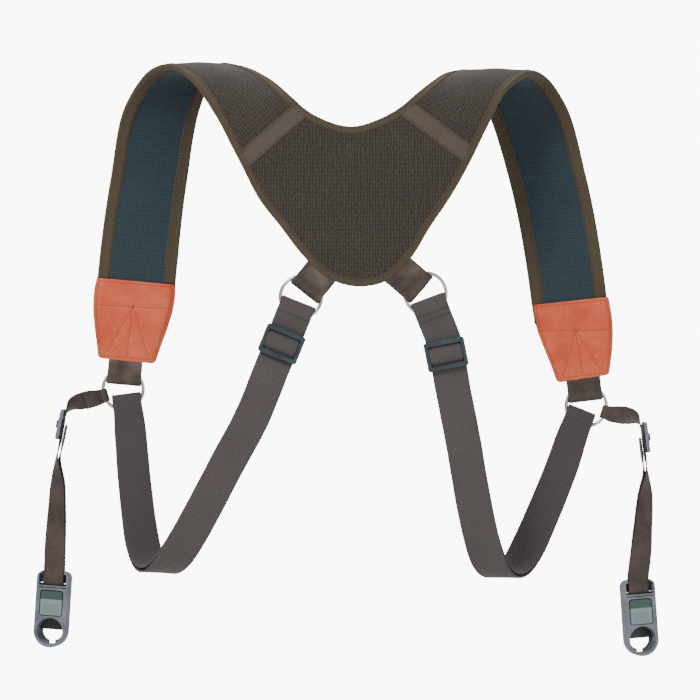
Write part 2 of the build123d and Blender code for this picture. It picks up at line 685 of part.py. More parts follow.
def build_yoke():
    """The back panel: three layers, its binding, and the ribbed tapes over the seams."""
    pockets = [loop_pocket(side) for side in SIDES]
    save(yoke_layer(-SKIN, 0), "yoke_lining")
    save(yoke_layer(-PAD, -PAD + SKIN), "yoke_outer_fabric")
    with BuildPart() as foam:
        add(yoke_layer(-PAD + SKIN + GLUE, -SKIN - GLUE))
        for pocket in pockets:
            add(pocket, mode=Mode.SUBTRACT)
    save(foam.part, "yoke_foam")
    with BuildPart() as binding:
        with BuildSketch(Plane.XZ.offset(-BINDING_OUT)):
            add(yoke_face(0))
            add(yoke_face(BINDING - GLUE), mode=Mode.SUBTRACT)
        extrude(amount=BINDING_THICK)
        for pocket in pockets:
            add(pocket, mode=Mode.SUBTRACT)
    save(binding.part, "yoke_binding")


def seam_tape(edge_pair):
    """The ribbed tape over the seam between the yoke and a shoulder."""
    low_edge, high_edge = (Vector(*edge) for edge in edge_pair)
    seam = high_edge - low_edge
    middle = (low_edge + high_edge) / 2
    plane = Plane(origin=(middle.X, -PAD - GLUE, middle.Z), x_dir=seam, z_dir=(0, -1, 0))
    with BuildPart() as tape:
        with BuildSketch(plane):
            Rectangle(seam.length - 2 * BINDING - TAPE_SHORT, TAPE_WIDTH)
        extrude(amount=TAPE_THICK)
    return tape.part


def build_shoulder(side):
    """One shoulder strap: three layers, two edge bindings, its seam tape and its leather cap."""
    edges = SHOULDER_EDGES[side]
    stations = edge_stations(edges)
    lining = ribbon(stations, PAD / 2 - SKIN, PAD / 2, inset=BINDING)
    foam = ribbon(stations, -PAD / 2 + SKIN + GLUE, PAD / 2 - SKIN - GLUE, inset=BINDING)
    outer = ribbon(stations, -PAD / 2, -PAD / 2 + SKIN, inset=BINDING)
    save(lining, f"{side}_shoulder_lining")
    save(foam, f"{side}_shoulder_foam")
    save(outer, f"{side}_shoulder_outer_fabric")
    strips = [edge_strip(stations[:-1], edge) for edge in (-1, 1)]
    save(Compound(children=strips), f"{side}_shoulder_binding")
    save(seam_tape(edges[0]), f"{side}_seam_tape")
    outline = LEATHER_OUTLINES[side]
    inner_face = FRONT_Y - PAD / 2 - LEATHER_GAP
    outer_face = FRONT_Y + PAD / 2 + LEATHER_GAP + LEATHER
    for label, face_y in ((f"{side}_leather_inner", inner_face), (f"{side}_leather_outer", outer_face)):
        with BuildPart() as leather:
            with BuildSketch(Plane.XZ.offset(-face_y)):
                with BuildLine():
                    Polyline(*outline, close=True)
                make_face()
            extrude(amount=LEATHER)
        save(leather.part, label)


def build_rings(side):
    """The two steel rings and the satin loops that hang them."""
    save(steel_ring(YOKE_RINGS[side], MIDDLE_Y), f"{side}_yoke_ring")
    save(steel_ring(FRONT_RINGS[side], FRONT_Y), f"{side}_front_ring")
    yoke_loop = webbing_loop(
        YOKE_RINGS[side], MIDDLE_Y, YOKE_LOOP_DIRECTION[side], SATIN_WIDTH, YOKE_LOOP_ENDS, tail=LOOP_TAIL)
    save(yoke_loop, f"{side}_yoke_loop")
    front_loop = webbing_loop(
        FRONT_RINGS[side], FRONT_Y, FRONT_LOOP_DIRECTION[side], SATIN_WIDTH, FRONT_LOOP_ENDS)
    save(front_loop, f"{side}_front_loop")


def build_lower_strap(side):
    """The elastic strap: an eye on each ring, the run through the slider and the run back up."""
    run = [(centre, across, ELASTIC_WIDTH) for centre, across in LOWER_STRAPS[side]]
    run[-1] = (run[-1][0], run[-1][1], ELASTIC_EYE_WIDTH)
    run[-2] = (run[-2][0], run[-2][1], (ELASTIC_WIDTH + ELASTIC_EYE_WIDTH) / 2 + 1)
    outer = ribbon(run, -ELASTIC / 2, ELASTIC / 2)
    inner_face = -ELASTIC / 2 - PLY_GAP
    down = Vector(*in_xz(SLIDE_DOWN[side], 0)).normalized()
    slider = Vector(*in_xz(SLIDER_CENTRES[side], MIDDLE_Y))
    below_slider = 1 if side == "left" else 2
    return_run = [(tuple(slider + down * RETURN_START), run[below_slider - 1][1], ELASTIC_WIDTH)]
    return_run.extend(run[below_slider:])
    inner = ribbon(return_run, inner_face - ELASTIC, inner_face)
    yoke_eye = webbing_loop(YOKE_RINGS[side], MIDDLE_Y, STRAP_DOWN[side], SATIN_WIDTH, YOKE_EYE_ENDS)
    shift = ELASTIC_EYE_SHIFT if side == "left" else -ELASTIC_EYE_SHIFT
    front_eye = webbing_loop(
        FRONT_RINGS[side], FRONT_Y, FRONT_EYE_DIRECTION[side], ELASTIC_EYE_WIDTH, FRONT_EYE_ENDS, shift=shift)
    save(Compound(children=[yoke_eye, outer, front_eye]), f"{side}_lower_strap")
    save(inner, f"{side}_lower_strap_return")


def build_slider(side):
    """The three-bar slider on the elastic strap, with the bight of strap over its bar."""
    plane = slider_plane(side)
    save(slider_frame(plane, SLIDER_SIZE, SLIDER_WINDOW, SLIDER_BAR, SLIDER_THICK), f"{side}_slider")
    bight = slider_fold(plane, SLIDER_WINDOW[0] - BIGHT_SIDE, SLIDER_THICK, BIGHT_PLY)
    save(bight, f"{side}_slider_bight")


def build_tether(side):
    """The satin tether: the eye and run off the ring, the hanging plies and the small slider."""
    stations = [(in_xz(point, FRONT_Y), across, width) for point, across, width in TETHER_TOPS[side]]
    top = ribbon(stations, -TETHER_TOP_THICK / 2, TETHER_TOP_THICK / 2)
    save(Compound(children=[ring_eye(side), top]), f"{side}_tether_top")
    route = tether_route(side)
    outward_ply = tether_ply(route, 1)
    save(Compound(children=[outward_ply, pin_eye(connector_plane(side))]), f"{side}_tether_strap")
    hinge_end, straight_end = (Vector(*station[0]) for station in route[:2])
    return_end = hinge_end + (straight_end - hinge_end) * RETURN_SHARE
    inward_ply = tether_ply([(tuple(return_end), *route[0][1:])] + route[1:], -1)
    save(inward_ply, f"{side}_tether_return")
    plane = small_slider_plane(side)
    frame = slider_frame(plane, SMALL_SLIDER_SIZE, SMALL_SLIDER_WINDOW, SLIDER_BAR, SMALL_SLIDER_THICK)
    save(frame, f"{side}_small_slider")
    bight = slider_fold(plane, SMALL_SLIDER_WINDOW[0] - 2 * BIGHT_SIDE, SMALL_SLIDER_THICK, SMALL_BIGHT_PLY)
    save(bight, f"{side}_small_slider_bight")


def build_connector(side):
    """The quick-release connector and what it holds."""
    plane = connector_plane(side)
    save(connector_front(plane), f"{side}_connector_front_shell")
    save(connector_back(plane), f"{side}_connector_back_shell")
    save(connector_pin(plane), f"{side}_connector_pin")
    save(connector_button(plane), f"{side}_connector_button")
    save(connector_latch(plane), f"{side}_connector_latch")
    save(button_spring(plane), f"{side}_connector_button_spring")
    save(latch_springs(plane), f"{side}_connector_latch_springs")


build_yoke()
for harness_side in SIDES:
    build_shoulder(harness_side)
    build_rings(harness_side)
    build_lower_strap(harness_side)
    build_slider(harness_side)
    build_tether(harness_side)
    build_connector(harness_side)
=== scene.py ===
"""Looks for the binocular harness: cloth, webbing, leather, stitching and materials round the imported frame.

Routes and sizes are in millimetres, as in the part's source, and become metres when a mesh is made.
"""

import math

import bmesh
import bpy
import numpy as np
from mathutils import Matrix, Vector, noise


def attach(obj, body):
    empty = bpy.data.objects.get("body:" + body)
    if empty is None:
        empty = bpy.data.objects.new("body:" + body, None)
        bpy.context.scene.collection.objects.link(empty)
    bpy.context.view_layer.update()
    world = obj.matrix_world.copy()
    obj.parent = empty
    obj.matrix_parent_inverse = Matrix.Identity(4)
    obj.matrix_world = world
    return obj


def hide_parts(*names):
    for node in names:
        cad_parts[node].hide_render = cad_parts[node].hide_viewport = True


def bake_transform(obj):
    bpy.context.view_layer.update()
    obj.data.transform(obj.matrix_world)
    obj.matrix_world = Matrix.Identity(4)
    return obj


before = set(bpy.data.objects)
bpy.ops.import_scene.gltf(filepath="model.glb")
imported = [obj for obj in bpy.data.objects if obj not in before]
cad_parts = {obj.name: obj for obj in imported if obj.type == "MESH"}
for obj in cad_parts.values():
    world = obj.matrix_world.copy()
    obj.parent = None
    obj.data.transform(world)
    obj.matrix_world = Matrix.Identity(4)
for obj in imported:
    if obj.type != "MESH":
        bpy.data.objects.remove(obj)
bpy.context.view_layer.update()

MM = 0.001
SIDES = ("left", "right")

# ---- padding ----
EDGE_HEIGHT = 1.5         # from the pad's middle to its face, at the very edge
CLOTH_SWELL = (14.0, 0.22)   # size and height of the slow unevenness of the padding
BINDING_SWELL = (9.0, 0.16)
BINDING_PROUD = 0.42      # the binding's height over the cloth
BINDING_TUCK = 0.1        # and at its two edges
OUTER_STITCH_PLACE = 4.1  # the stitch rows' distance in from the pad's edge
LINING_STITCH_PLACE = 7.3
MIDDLE_Y = -2.5           # middle of the yoke's thickness
FRONT_Y = 65.0            # middle plane of the strap ends, the front rings and the tethers
BINDING_FACE = 5.0        # how far the binding reaches over the outer face
BINDING_LINING = 8.5      # and over the lining
SKIN = 0.9                # cloth on each side of the foam
STEP = 2.0                # spacing of the mesh rows along a strap
TAPE_WIDTH = 12.5
RIB_PITCH = 1.5
TAPE_UNDER = 2.2          # how near the pad's edge the tape reaches, under the binding

NECKLINE = [(-34.4, 64.5), (-21, 56.5), (0, 51.2), (20, 56.8), (35.8, 65.9)]
RIGHT_SIDE = [(84.3, 30), (69, 2.6), (54.8, -18.5), (40.8, -40.9)]
FOOT = [(40.8, -40.9), (23.2, -57), (2, -60.4), (-17, -54.4), (-31.6, -41.6)]
LEFT_SIDE = [(-31.6, -41.6), (-50.6, -17.7), (-64.7, 0.5), (-78, 26)]
SHOULDER_EDGES = {
    "left": [
        ((-78, MIDDLE_Y, 26), (-34.4, MIDDLE_Y, 64.5)),
        ((-82.2, MIDDLE_Y, 34), (-41, MIDDLE_Y, 70.5)),
        ((-95.7, 1, 59.8), (-56.5, 14, 84.5)),
        ((-115.5, 13, 87.5), (-80.1, 44, 96.5)),
        ((-129.7, 26, 96), (-92.1, 61, 98.5)),
        ((-144.8, 42, 93), (-101.1, 71, 93.5)),
        ((-161.4, 58, 73.2), (-109.4, 76, 74)),
        ((-174.1, 66, 17.2), (-119.8, 73, 17.5)),
        ((-183.3, FRONT_Y, -52.9), (-127.9, FRONT_Y, -57.9)),
        ((-184.6, FRONT_Y, -68), (-129.4, FRONT_Y, -73)),
    ],
    "right": [
        ((35.8, MIDDLE_Y, 65.9), (84.3, MIDDLE_Y, 30)),
        ((42.6, MIDDLE_Y, 71.8), (88.2, MIDDLE_Y, 38)),
        ((53.6, 7, 81.2), (95.7, 1, 53.5)),
        ((69.1, 36, 91.5), (112, 14, 81.5)),
        ((79, 52, 93.5), (126.9, 28, 91.5)),
        ((88, 64, 90), (138.4, 43, 89)),
        ((99.2, 73, 66.6), (152.9, 59, 72)),
        ((113.7, 71, 19.6), (168.5, 66, 20.9)),
        ((130.2, FRONT_Y, -72.4), (183.5, FRONT_Y, -66.6)),
        ((131.9, FRONT_Y, -87), (185.1, FRONT_Y, -81)),
    ],
}

# ---- rings and the webbing folded round them ----
RING_RADIUS = 14.5
FOLD_START = 3.3          # from a ring's centre to the outside of a fold
FOLD_HALF = 1.95          # from a wire's middle plane to the middle of a ply
SATIN = 1.1
SATIN_WIDTH = 24.5
SEWN_ROWS = {"left": (14.6,), "right": (14.6, 18.4)}   # across the elastic, from the ring's centre
LOOP_CRUMPLE = (7.0, 0.22)   # size and height of the webbing's unevenness
ELASTIC_CRUMPLE = (16.0, 0.15)
TETHER_CRUMPLE = (6.0, 0.15)
LOOP_END = 33.0           # where a loop's plies end under the pad or the leather
LOOP_CLOSE = {"yoke_loop": 19.5, "front_loop": 22.0}   # where the plies meet
LINING_CREASE = 5.0       # in from the edge, on the binding's lining face
YOKE_RINGS = {"left": (-35.9, -68.3), "right": (51.7, -65.9)}
YOKE_LOOP_DIRECTION = {"left": (0.626, 0.780), "right": (-0.759, 0.651)}
FRONT_RINGS = {"left": (-165.3, -134.1), "right": (169.3, -146.0)}
FRONT_LOOP_DIRECTION = {"left": (0.09, 0.996), "right": (-0.12, 0.993)}

# ---- elastic straps: centre and the direction across ----
ELASTIC = 1.4
ELASTIC_WIDTH = 25.0
BIGHT_WIDTH = 22.8
ELASTIC_EYE_WIDTH = 21.0
ELASTIC_EYE_SHIFT = {"left": 1.7, "right": -1.7}
PLY_STEP = ELASTIC + 0.3
STRAP_DOWN = {"left": (-0.378, -0.926), "right": (0.355, -0.935)}
SLIDE_DOWN = {"left": (-0.378, -0.926), "right": (0.194, -0.981)}
SLIDER_CENTRES = {"left": (-49.4, -101.4), "right": (66.1, -108.7)}
LOWER_STRAPS = {
    "left": [
        ((-44.2, MIDDLE_Y, -88.7), (0.926, 0, -0.378)),
        ((-72.3, MIDDLE_Y, -157.5), (0.92, 0, -0.39)),
        ((-84.3, -1.0, -179), (0.89, 0, -0.45)),
        ((-102.2, 2.5, -213), (0.89, 0.05, -0.45)),
        ((-114.6, 6, -236), (0.88, 0.15, -0.45)),
        ((-127, 14, -255.5), (0.83, 0.4, -0.38)),
        ((-136.5, 27, -264), (0.8, 0.58, -0.12)),
        ((-144.5, 42, -262), (0.83, 0.55, 0.05)),
        ((-150.4, 53, -247), (0.93, 0.32, 0.13)),
        ((-154.2, 58, -222), (0.985, 0.1, 0.13)),
        ((-158.3, 62, -184), (0.99, 0, 0.12)),
    ],
    "right": [
        ((59.5, MIDDLE_Y, -86.4), (0.935, 0, 0.355)),
        ((63.6, MIDDLE_Y, -96), (0.981, 0, 0.194)),
        ((78.2, MIDDLE_Y, -169.6), (0.981, 0, 0.194)),
        ((84.3, 1.5, -205), (0.98, -0.04, 0.19)),
        ((90.6, 5.5, -236), (0.96, -0.12, 0.25)),
        ((97.5, 14, -258), (0.9, -0.38, 0.22)),
        ((106, 27, -267.5), (0.84, -0.54, 0.05)),
        ((115.5, 42, -265.5), (0.85, -0.52, -0.05)),
        ((125.5, 53.5, -250), (0.9, -0.3, -0.3)),
        ((138.7, 58.5, -221), (0.92, -0.1, -0.38)),
        ((153.2, 62.5, -185), (0.925, 0, -0.38)),
    ],
}
FRONT_EYE_DIRECTION = {"left": (0.128, -0.992), "right": (-0.364, -0.931)}

# ---- tethers ----
TETHER = 1.0
TETHER_WIDTH = 15.0
TETHER_EYE_DROP = 18.0
TETHER_EYE_RADIUS = 2.35
WIRE_SAGITTA = 0.45
TETHER_HINGES = {"left": (-204.6, -147), "right": (207.5, -156)}
TETHER_DOWN = {"left": (-0.2, -0.98), "right": (0.12, -0.993)}
SLIDER_HALF_GAP = 1.4
EYE_HALF_GAP = 1.9
SMALL_SLIDER_PLACE = 13.0
BUTTON_SPLIT = 11.4       # below the pin: where the button's two tones meet
TETHER_ACROSS = {"left": (0, -1, 0), "right": (0, 1, 0)}
TETHER_TOPS = {
    "left": [
        ((-188.5, -140.9), (-0.3, -0.2, 0.93), 12.6),
        ((-194.5, -142.3), (-0.32, -0.42, 0.85), 13.6),
        ((-200.3, -144.3), (-0.28, -0.72, 0.63), 14.6),
    ],
    "right": [
        ((192.3, -152.2), (0.3, 0.2, 0.93), 12.6),
        ((198.3, -152.9), (0.32, 0.42, 0.85), 13.6),
        ((203.6, -154.3), (0.28, 0.72, 0.63), 14.6),
    ],
}
TETHER_TURN = {           # below the hinge: distance, direction across, half the gap
    "left": [(26.0, (0, -1, 0), 1.12), (36.0, (0.12, -0.99, 0), 1.1)],
    "right": [(26.0, (0, 1, 0), 1.12), (36.0, (0.12, 0.99, 0), 1.1)],
}
TETHER_TWISTS = {
    "left": [
        ((-212.4, FRONT_Y, -203), (0.68, -0.73, 0), 0.9),
        ((-213.2, 64.5, -226), (0.86, -0.51, 0), 1.2),
        ((-214.2, 64, -248), (0.98, -0.19, -0.05), 1.8),
    ],
    "right": [
        ((211.6, FRONT_Y, -212), (0.7, 0.7, 0), 0.9),
        ((210, 64.5, -234), (0.85, 0.5, 0), 1.2),
        ((208.4, 64, -254), (0.97, 0.22, 0.05), 1.8),
    ],
}
# ---- connectors ----
CONNECTOR_PINS = {"left": (-215.3, 63.0, -274.0), "right": (206.7, 63.0, -280.2)}
CONNECTOR_TILT = {"left": 3.6, "right": -3.9}
CONNECTOR_YAW = {"left": -9.0, "right": 11.0}

# ---- stitches: length, spacing and half thickness ----
BINDING_STITCH = (1.5, 2.6, 0.3)
TAPE_STITCH = (1.7, 2.3, 0.3)
LEATHER_STITCH = (1.9, 2.7, 0.3)
ELASTIC_STITCH = (1.5, 2.1, 0.28)
TETHER_STITCH = (1.2, 1.7, 0.26)

# ---- stage, light and camera; light places are in metres ----
CAMERA = (-1.4, -2500.0, -105.6)
PICTURE_SPAN = 492.8      # width seen at the yoke's depth
SENSOR = 36.0
FLOOR = -620.0
FLOOR_RADIUS = 2300.0
SURROUND_RADIUS = 12000.0
SURROUND_GLOW = 9.0
WORLD_STRENGTH = 0.5
LIGHTS = {                # place, aim, size and power
    "key_light": ((-1.2, -1.7, 1.5), (0, 0, -0.05), 0.9, 48),
    "fill_light": ((1.7, -1.8, 0.4), (0, 0, -0.1), 1.4, 16),
    "top_light": ((0.2, 0.5, 1.9), (0, 0.05, -0.1), 1.2, 22),
}

# ---- leather caps: side edges from top to bottom, in X, Z ----
LEATHER = 1.4
SEAM_DEPTH = 0.6
SEAM_WIDTH = 1.1
PILLOW = 2.85             # how far a cap swells between its edges
LEATHER_CORNER = 2.6
LEATHER_SIDES = {
    "left": (
        [(-184.3, -53.4), (-186.3, -63), (-186.9, -73), (-186, -88), (-184.4, -101), (-183.3, -111.4)],
        [(-127.4, -58.6), (-127.6, -66), (-129, -76), (-132.5, -88), (-137.5, -102), (-142.3, -115.7)],
    ),
    "right": (
        [(129.8, -73.2), (131, -80), (134, -92), (138.5, -104), (143.4, -116), (148.2, -129.4)],
        [(185.2, -67.2), (187.2, -77), (188.5, -91), (188.1, -104), (187, -114), (185.6, -123.6)],
    ),
}


# =====================================================================================
# Curves, frames and meshes
# =====================================================================================
def unit(vectors):
    """Vectors scaled to length one."""
    vectors = np.asarray(vectors, float)
    return vectors / np.maximum(np.linalg.norm(vectors, axis=-1, keepdims=True), 1e-9)


def ease(value):
    """A smooth step from 0 to 1."""
    value = np.clip(value, 0, 1)
    return value * value * (3 - 2 * value)


def chord_knots(points):
    """Distances along the straight chords through the points."""
    gaps = np.linalg.norm(np.diff(points, axis=0), axis=1)
    return np.concatenate([[0], np.cumsum(np.maximum(gaps, 1e-6))])


def through(values, knots, at):
    """A smooth curve through values at knots, read at other places."""
    values = np.asarray(values, float)
    gaps = np.diff(knots)
    slopes = np.diff(values, axis=0) / gaps[:, None]
    tangents = np.empty_like(values)
    tangents[0] = slopes[0]
    tangents[-1] = slopes[-1]
    before = gaps[:-1, None]
    after = gaps[1:, None]
    tangents[1:-1] = (slopes[:-1] * after + slopes[1:] * before) / (before + after)
    index = np.clip(np.searchsorted(knots, at, side="right") - 1, 0, len(gaps) - 1)
    gap = gaps[index][:, None]
    t = ((at - knots[index]) / gaps[index])[:, None]
    start = values[index] * (2 * t**3 - 3 * t**2 + 1) + tangents[index] * gap * (t**3 - 2 * t**2 + t)
    return start + values[index + 1] * (3 * t**2 - 2 * t**3) + tangents[index + 1] * gap * (t**3 - t**2)


TIGHT_TURN = 0.22         # a turn between rows that belongs to a fold, in radians
STRAP_COLUMNS = 14        # points across a strap's face
KEEP_ROWS = 6             # rows beside a fold that relaxing leaves alone


class Route:
    """A strap's line: points, the direction across, the face normal, width and distance along."""

    def __init__(self, points, across, width, step=STEP, relax=0):
        points = np.asarray(points, float)
        across = unit(across)
        width = np.broadcast_to(np.asarray(width, float), (len(points),))
        knots = chord_knots(points)
        count = max(int(round(knots[-1] / step)), 2) + 1
        at = np.linspace(0, knots[-1], count)
        self.points = through(points, knots, at)
        side = through(across, knots, at)
        self.width = through(width[:, None], knots, at)[:, 0]
        turning = np.linalg.norm(np.diff(unit(np.gradient(self.points, axis=0)), axis=0), axis=1)
        tight = (np.append(turning, 0) > TIGHT_TURN).astype(float)
        free = np.convolve(tight, np.ones(2 * KEEP_ROWS + 1), "same") < 0.5
        free[:KEEP_ROWS] = False
        free[-KEEP_ROWS:] = False
        for _ in range(relax):
            for values in (self.points, side):
                eased = (values[:-2] + 2 * values[1:-1] + values[2:]) / 4
                values[1:-1][free[1:-1]] = eased[free[1:-1]]
        self.finish(side)

    def finish(self, side):
        """Square the across direction to the run and work out normals and distances."""
        self.along = unit(np.gradient(self.points, axis=0))
        side = unit(side)
        side = side - self.along * np.sum(side * self.along, axis=1, keepdims=True)
        self.across = unit(side)
        self.normal = np.cross(self.along, self.across)
        self.distance = chord_knots(self.points)

    def offset(self, across, normal):
        """Points beside the line, by an amount across and along the normal at each row."""
        across = np.broadcast_to(np.asarray(across, float), (len(self.points),))
        normal = np.broadcast_to(np.asarray(normal, float), (len(self.points),))
        return self.points + self.across * across[:, None] + self.normal * normal[:, None]


def mesh_piece(name, points, faces, weave=None, material=None):
    """A smooth-shaded mesh from points in millimetres, with its cloth coordinates in millimetres."""
    mesh = bpy.data.meshes.new(name)
    mesh.from_pydata((np.asarray(points, float) * MM).tolist(), [], faces)
    if weave is not None:
        layer = mesh.uv_layers.new(name="weave")
        corners = np.empty(len(mesh.loops), dtype=np.int32)
        mesh.loops.foreach_get("vertex_index", corners)
        layer.data.foreach_set("uv", np.asarray(weave, np.float32)[corners].ravel())
    mesh.polygons.foreach_set("use_smooth", np.ones(len(mesh.polygons), dtype=bool))
    shell = bmesh.new()
    shell.from_mesh(mesh)
    bmesh.ops.recalc_face_normals(shell, faces=shell.faces)
    shell.to_mesh(mesh)
    shell.free()
    mesh.update()
    piece = bpy.data.objects.new(name, mesh)
    bpy.context.scene.collection.objects.link(piece)
    if material:
        mesh.materials.append(material)
    return piece


def add_to(piece, body, nodes=()):
    """Ride a piece on its body and hide the CAD nodes it stands for."""
    if body:
        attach(piece, body)
    if nodes:
        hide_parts(*nodes)
    return piece


def tube_faces(rows, ring):
    """Quads between closed rings of points, and a cap at each end."""
    faces = []
    for row in range(rows - 1):
        for column in range(ring):
            after = (column + 1) % ring
            a = row * ring
            b = a + ring
            faces.append((a + column, b + column, b + after, a + after))
    faces.append(tuple(range(ring)))
    faces.append(tuple(reversed(range((rows - 1) * ring, rows * ring))))
    return faces


def strap_section(columns):
    """A flat section with rounded edges: across from -1 to 1, depth from -1 to 1."""
    top = [(x, 1.0) for x in np.linspace(-0.96, 0.96, columns)]
    edge = [(0.99, 0.6), (1.0, 0.0), (0.99, -0.6)]
    bottom = [(-x, -1.0) for x, _ in top]
    far = [(-x, -y) for x, y in edge]
    return np.array(top + edge + bottom + far)


def strap_mesh(name, route, thickness, material, columns=STRAP_COLUMNS):
    """A strap swept along its route."""
    section = strap_section(columns)
    half_width = route.width[:, None] / 2
    across = section[None, :, 0] * half_width
    depth = section[None, :, 1] * thickness / 2
    points = route.points[:, None] + route.across[:, None] * across[..., None]
    points = points + route.normal[:, None] * depth[..., None]
    along = np.broadcast_to(route.distance[:, None], across.shape)
    weave = np.stack([across, along], axis=-1).reshape(-1, 2)
    faces = tube_faces(len(route.points), len(section))
    return mesh_piece(name, points.reshape(-1, 3), faces, weave, material)


STITCH_ROWS = ((0.0, 0.25), (0.18, 0.8), (0.5, 1.0), (0.82, 0.8), (1.0, 0.25))


def stitch_piece(name, rows, material, body, stitch):
    """Rows of raised stitches; each row is points and their face normals."""
    length, pitch, thick = stitch
    ring = 6
    angles = np.arange(ring) * 2 * math.pi / ring
    points = []
    faces = []
    for line, normals in rows:
        knots = chord_knots(line)
        starts = np.arange(0.4, knots[-1] - length, pitch)
        for start in starts:
            at = np.array([start + length * t for t, _ in STITCH_ROWS])
            centre = np.stack([np.interp(at, knots, line[:, k]) for k in range(3)], axis=1)
            normal = unit(np.stack([np.interp(at, knots, normals[:, k]) for k in range(3)], axis=1))
            run = unit(np.gradient(centre, axis=0))
            side = unit(np.cross(run, normal))
            base = len(points) * ring
            for row, (_, size) in enumerate(STITCH_ROWS):
                radius = thick * size
                lift = thick * 0.9 * size - thick * 0.45
                circle = (
                    centre[row]
                    + normal[row] * lift
                    + side[row] * (np.cos(angles) * radius)[:, None]
                    + normal[row] * (np.sin(angles) * radius)[:, None]
                )
                points.append(circle)
            for quad in tube_faces(len(STITCH_ROWS), ring):
                faces.append(tuple(base + corner for corner in quad))
    piece = mesh_piece(name, np.concatenate(points), faces, None, material)
    return add_to(piece, body)


# =====================================================================================
# Materials
# =====================================================================================
class Shader:
    """Short calls for building one node material."""

    def __init__(self, name):
        self.material = bpy.data.materials.new(name)
        self.material.use_nodes = True
        self.nodes = self.material.node_tree.nodes
        self.links = self.material.node_tree.links
        self.shader = self.nodes["Principled BSDF"]

    def put(self, socket, value):
        """Set a socket, or link it."""
        if isinstance(value, bpy.types.NodeSocket):
            self.links.new(value, socket)
        else:
            socket.default_value = value

    def math(self, operation, first, second=0.0):
        """One arithmetic step."""
        node = self.nodes.new("ShaderNodeMath")
        node.operation = operation
        self.put(node.inputs[0], first)
        self.put(node.inputs[1], second)
        return node.outputs[0]

    def sum(self, *terms):
        """A sum of values, each given with its share."""
        parts = [self.math("MULTIPLY", value, share) for value, share in terms]
        return self.math("ADD", *parts)

    def weave(self):
        """The cloth coordinates: across and along, in millimetres."""
        node = self.nodes.new("ShaderNodeUVMap")
        node.uv_map = "weave"
        split = self.nodes.new("ShaderNodeSeparateXYZ")
        self.links.new(node.outputs[0], split.inputs[0])
        return split.outputs[0], split.outputs[1]

    def place(self):
        """The object's own coordinates, in metres."""
        return self.nodes.new("ShaderNodeTexCoord").outputs["Object"]

    def wave(self, coordinate, pitch, shift=0.0):
        """A wave from 0 to 1 with the given pitch."""
        turn = self.math("MULTIPLY", coordinate, 2 * math.pi / pitch)
        turn = self.math("ADD", turn, shift)
        return self.math("ADD", self.math("MULTIPLY", self.math("SINE", turn), 0.5), 0.5)

    def noise(self, scale, detail=3.0, roughness=0.55, vector=None):
        """Soft noise from 0 to 1 over the object's coordinates."""
        node = self.nodes.new("ShaderNodeTexNoise")
        node.inputs["Scale"].default_value = scale
        node.inputs["Detail"].default_value = detail
        node.inputs["Roughness"].default_value = roughness
        self.links.new(vector or self.place(), node.inputs["Vector"])
        return node.outputs["Fac"]

    def cells(self, scale, vector=None):
        """Distance to the nearest cell centre."""
        node = self.nodes.new("ShaderNodeTexVoronoi")
        node.inputs["Scale"].default_value = scale
        self.links.new(vector or self.place(), node.inputs["Vector"])
        return node.outputs["Distance"]

    def ramp(self, value, low, high):
        """Stretch a value so that low gives 0 and high gives 1."""
        node = self.nodes.new("ShaderNodeMapRange")
        node.inputs["From Min"].default_value = low
        node.inputs["From Max"].default_value = high
        self.links.new(value, node.inputs["Value"])
        return node.outputs[0]

    def mix(self, factor, first, second):
        """A colour between two colours."""
        node = self.nodes.new("ShaderNodeMix")
        node.data_type = "RGBA"
        self.put(node.inputs[0], factor)
        self.put(node.inputs[6], first)
        self.put(node.inputs[7], second)
        return node.outputs[2]

    def bump(self, height, distance, strength=0.6):
        """Bump the surface by a height, its full range being distance in metres."""
        node = self.nodes.new("ShaderNodeBump")
        node.inputs["Strength"].default_value = strength
        node.inputs["Distance"].default_value = distance
        self.links.new(height, node.inputs["Height"])
        self.links.new(node.outputs[0], self.shader.inputs["Normal"])

    def done(self, colour, roughness, metallic=0.0, sheen=0.0, specular=0.5):
        """Connect the colour and roughness, and set what is the same all over."""
        self.put(self.shader.inputs["Base Color"], colour)
        self.put(self.shader.inputs["Roughness"], roughness)
        self.shader.inputs["Metallic"].default_value = metallic
        self.shader.inputs["Specular IOR Level"].default_value = specular
        if sheen:
            self.shader.inputs["Sheen Weight"].default_value = sheen
            self.shader.inputs["Sheen Roughness"].default_value = 0.4
        return self.material


def rgb(code):
    """A linear colour from a six-figure screen colour."""
    values = [int(code[index:index + 2], 16) / 255 for index in (0, 2, 4)]
    linear = [value / 12.92 if value <= 0.04045 else ((value + 0.055) / 1.055) ** 2.4 for value in values]
    return (*linear, 1.0)


def cloth_tones(shader, height, dark, light, mottling=0.35):
    """Thread shading from a height, with slow uneven tone over it."""
    slow = shader.ramp(shader.noise(38.0, 4.0), 0.3, 0.7)
    fine = shader.noise(900.0, 2.0)
    base = shader.mix(height, rgb(dark), rgb(light))
    tone = shader.math("MULTIPLY", shader.math("ADD", shader.math("MULTIPLY", slow, 0.5), fine), mottling)
    return shader.mix(tone, base, rgb(dark))


def knit(name, dark, light, pitch, drop):
    """Fine knit: upright ribs of small loops."""
    shader = Shader(name)
    across, along = shader.weave()
    drift = shader.math("MULTIPLY", shader.noise(420.0, 3.0), 3.4)
    across = shader.math("ADD", across, drift)
    ribs = shader.wave(across, pitch)
    loops = shader.wave(shader.math("ADD", along, shader.math("MULTIPLY", drift, 1.7)), drop)
    height = shader.sum((ribs, 0.7), (loops, 0.3))
    colour = cloth_tones(shader, height, dark, light)
    shader.bump(height, 0.00035, 0.7)
    return shader.done(colour, 0.88, sheen=0.25, specular=0.25)


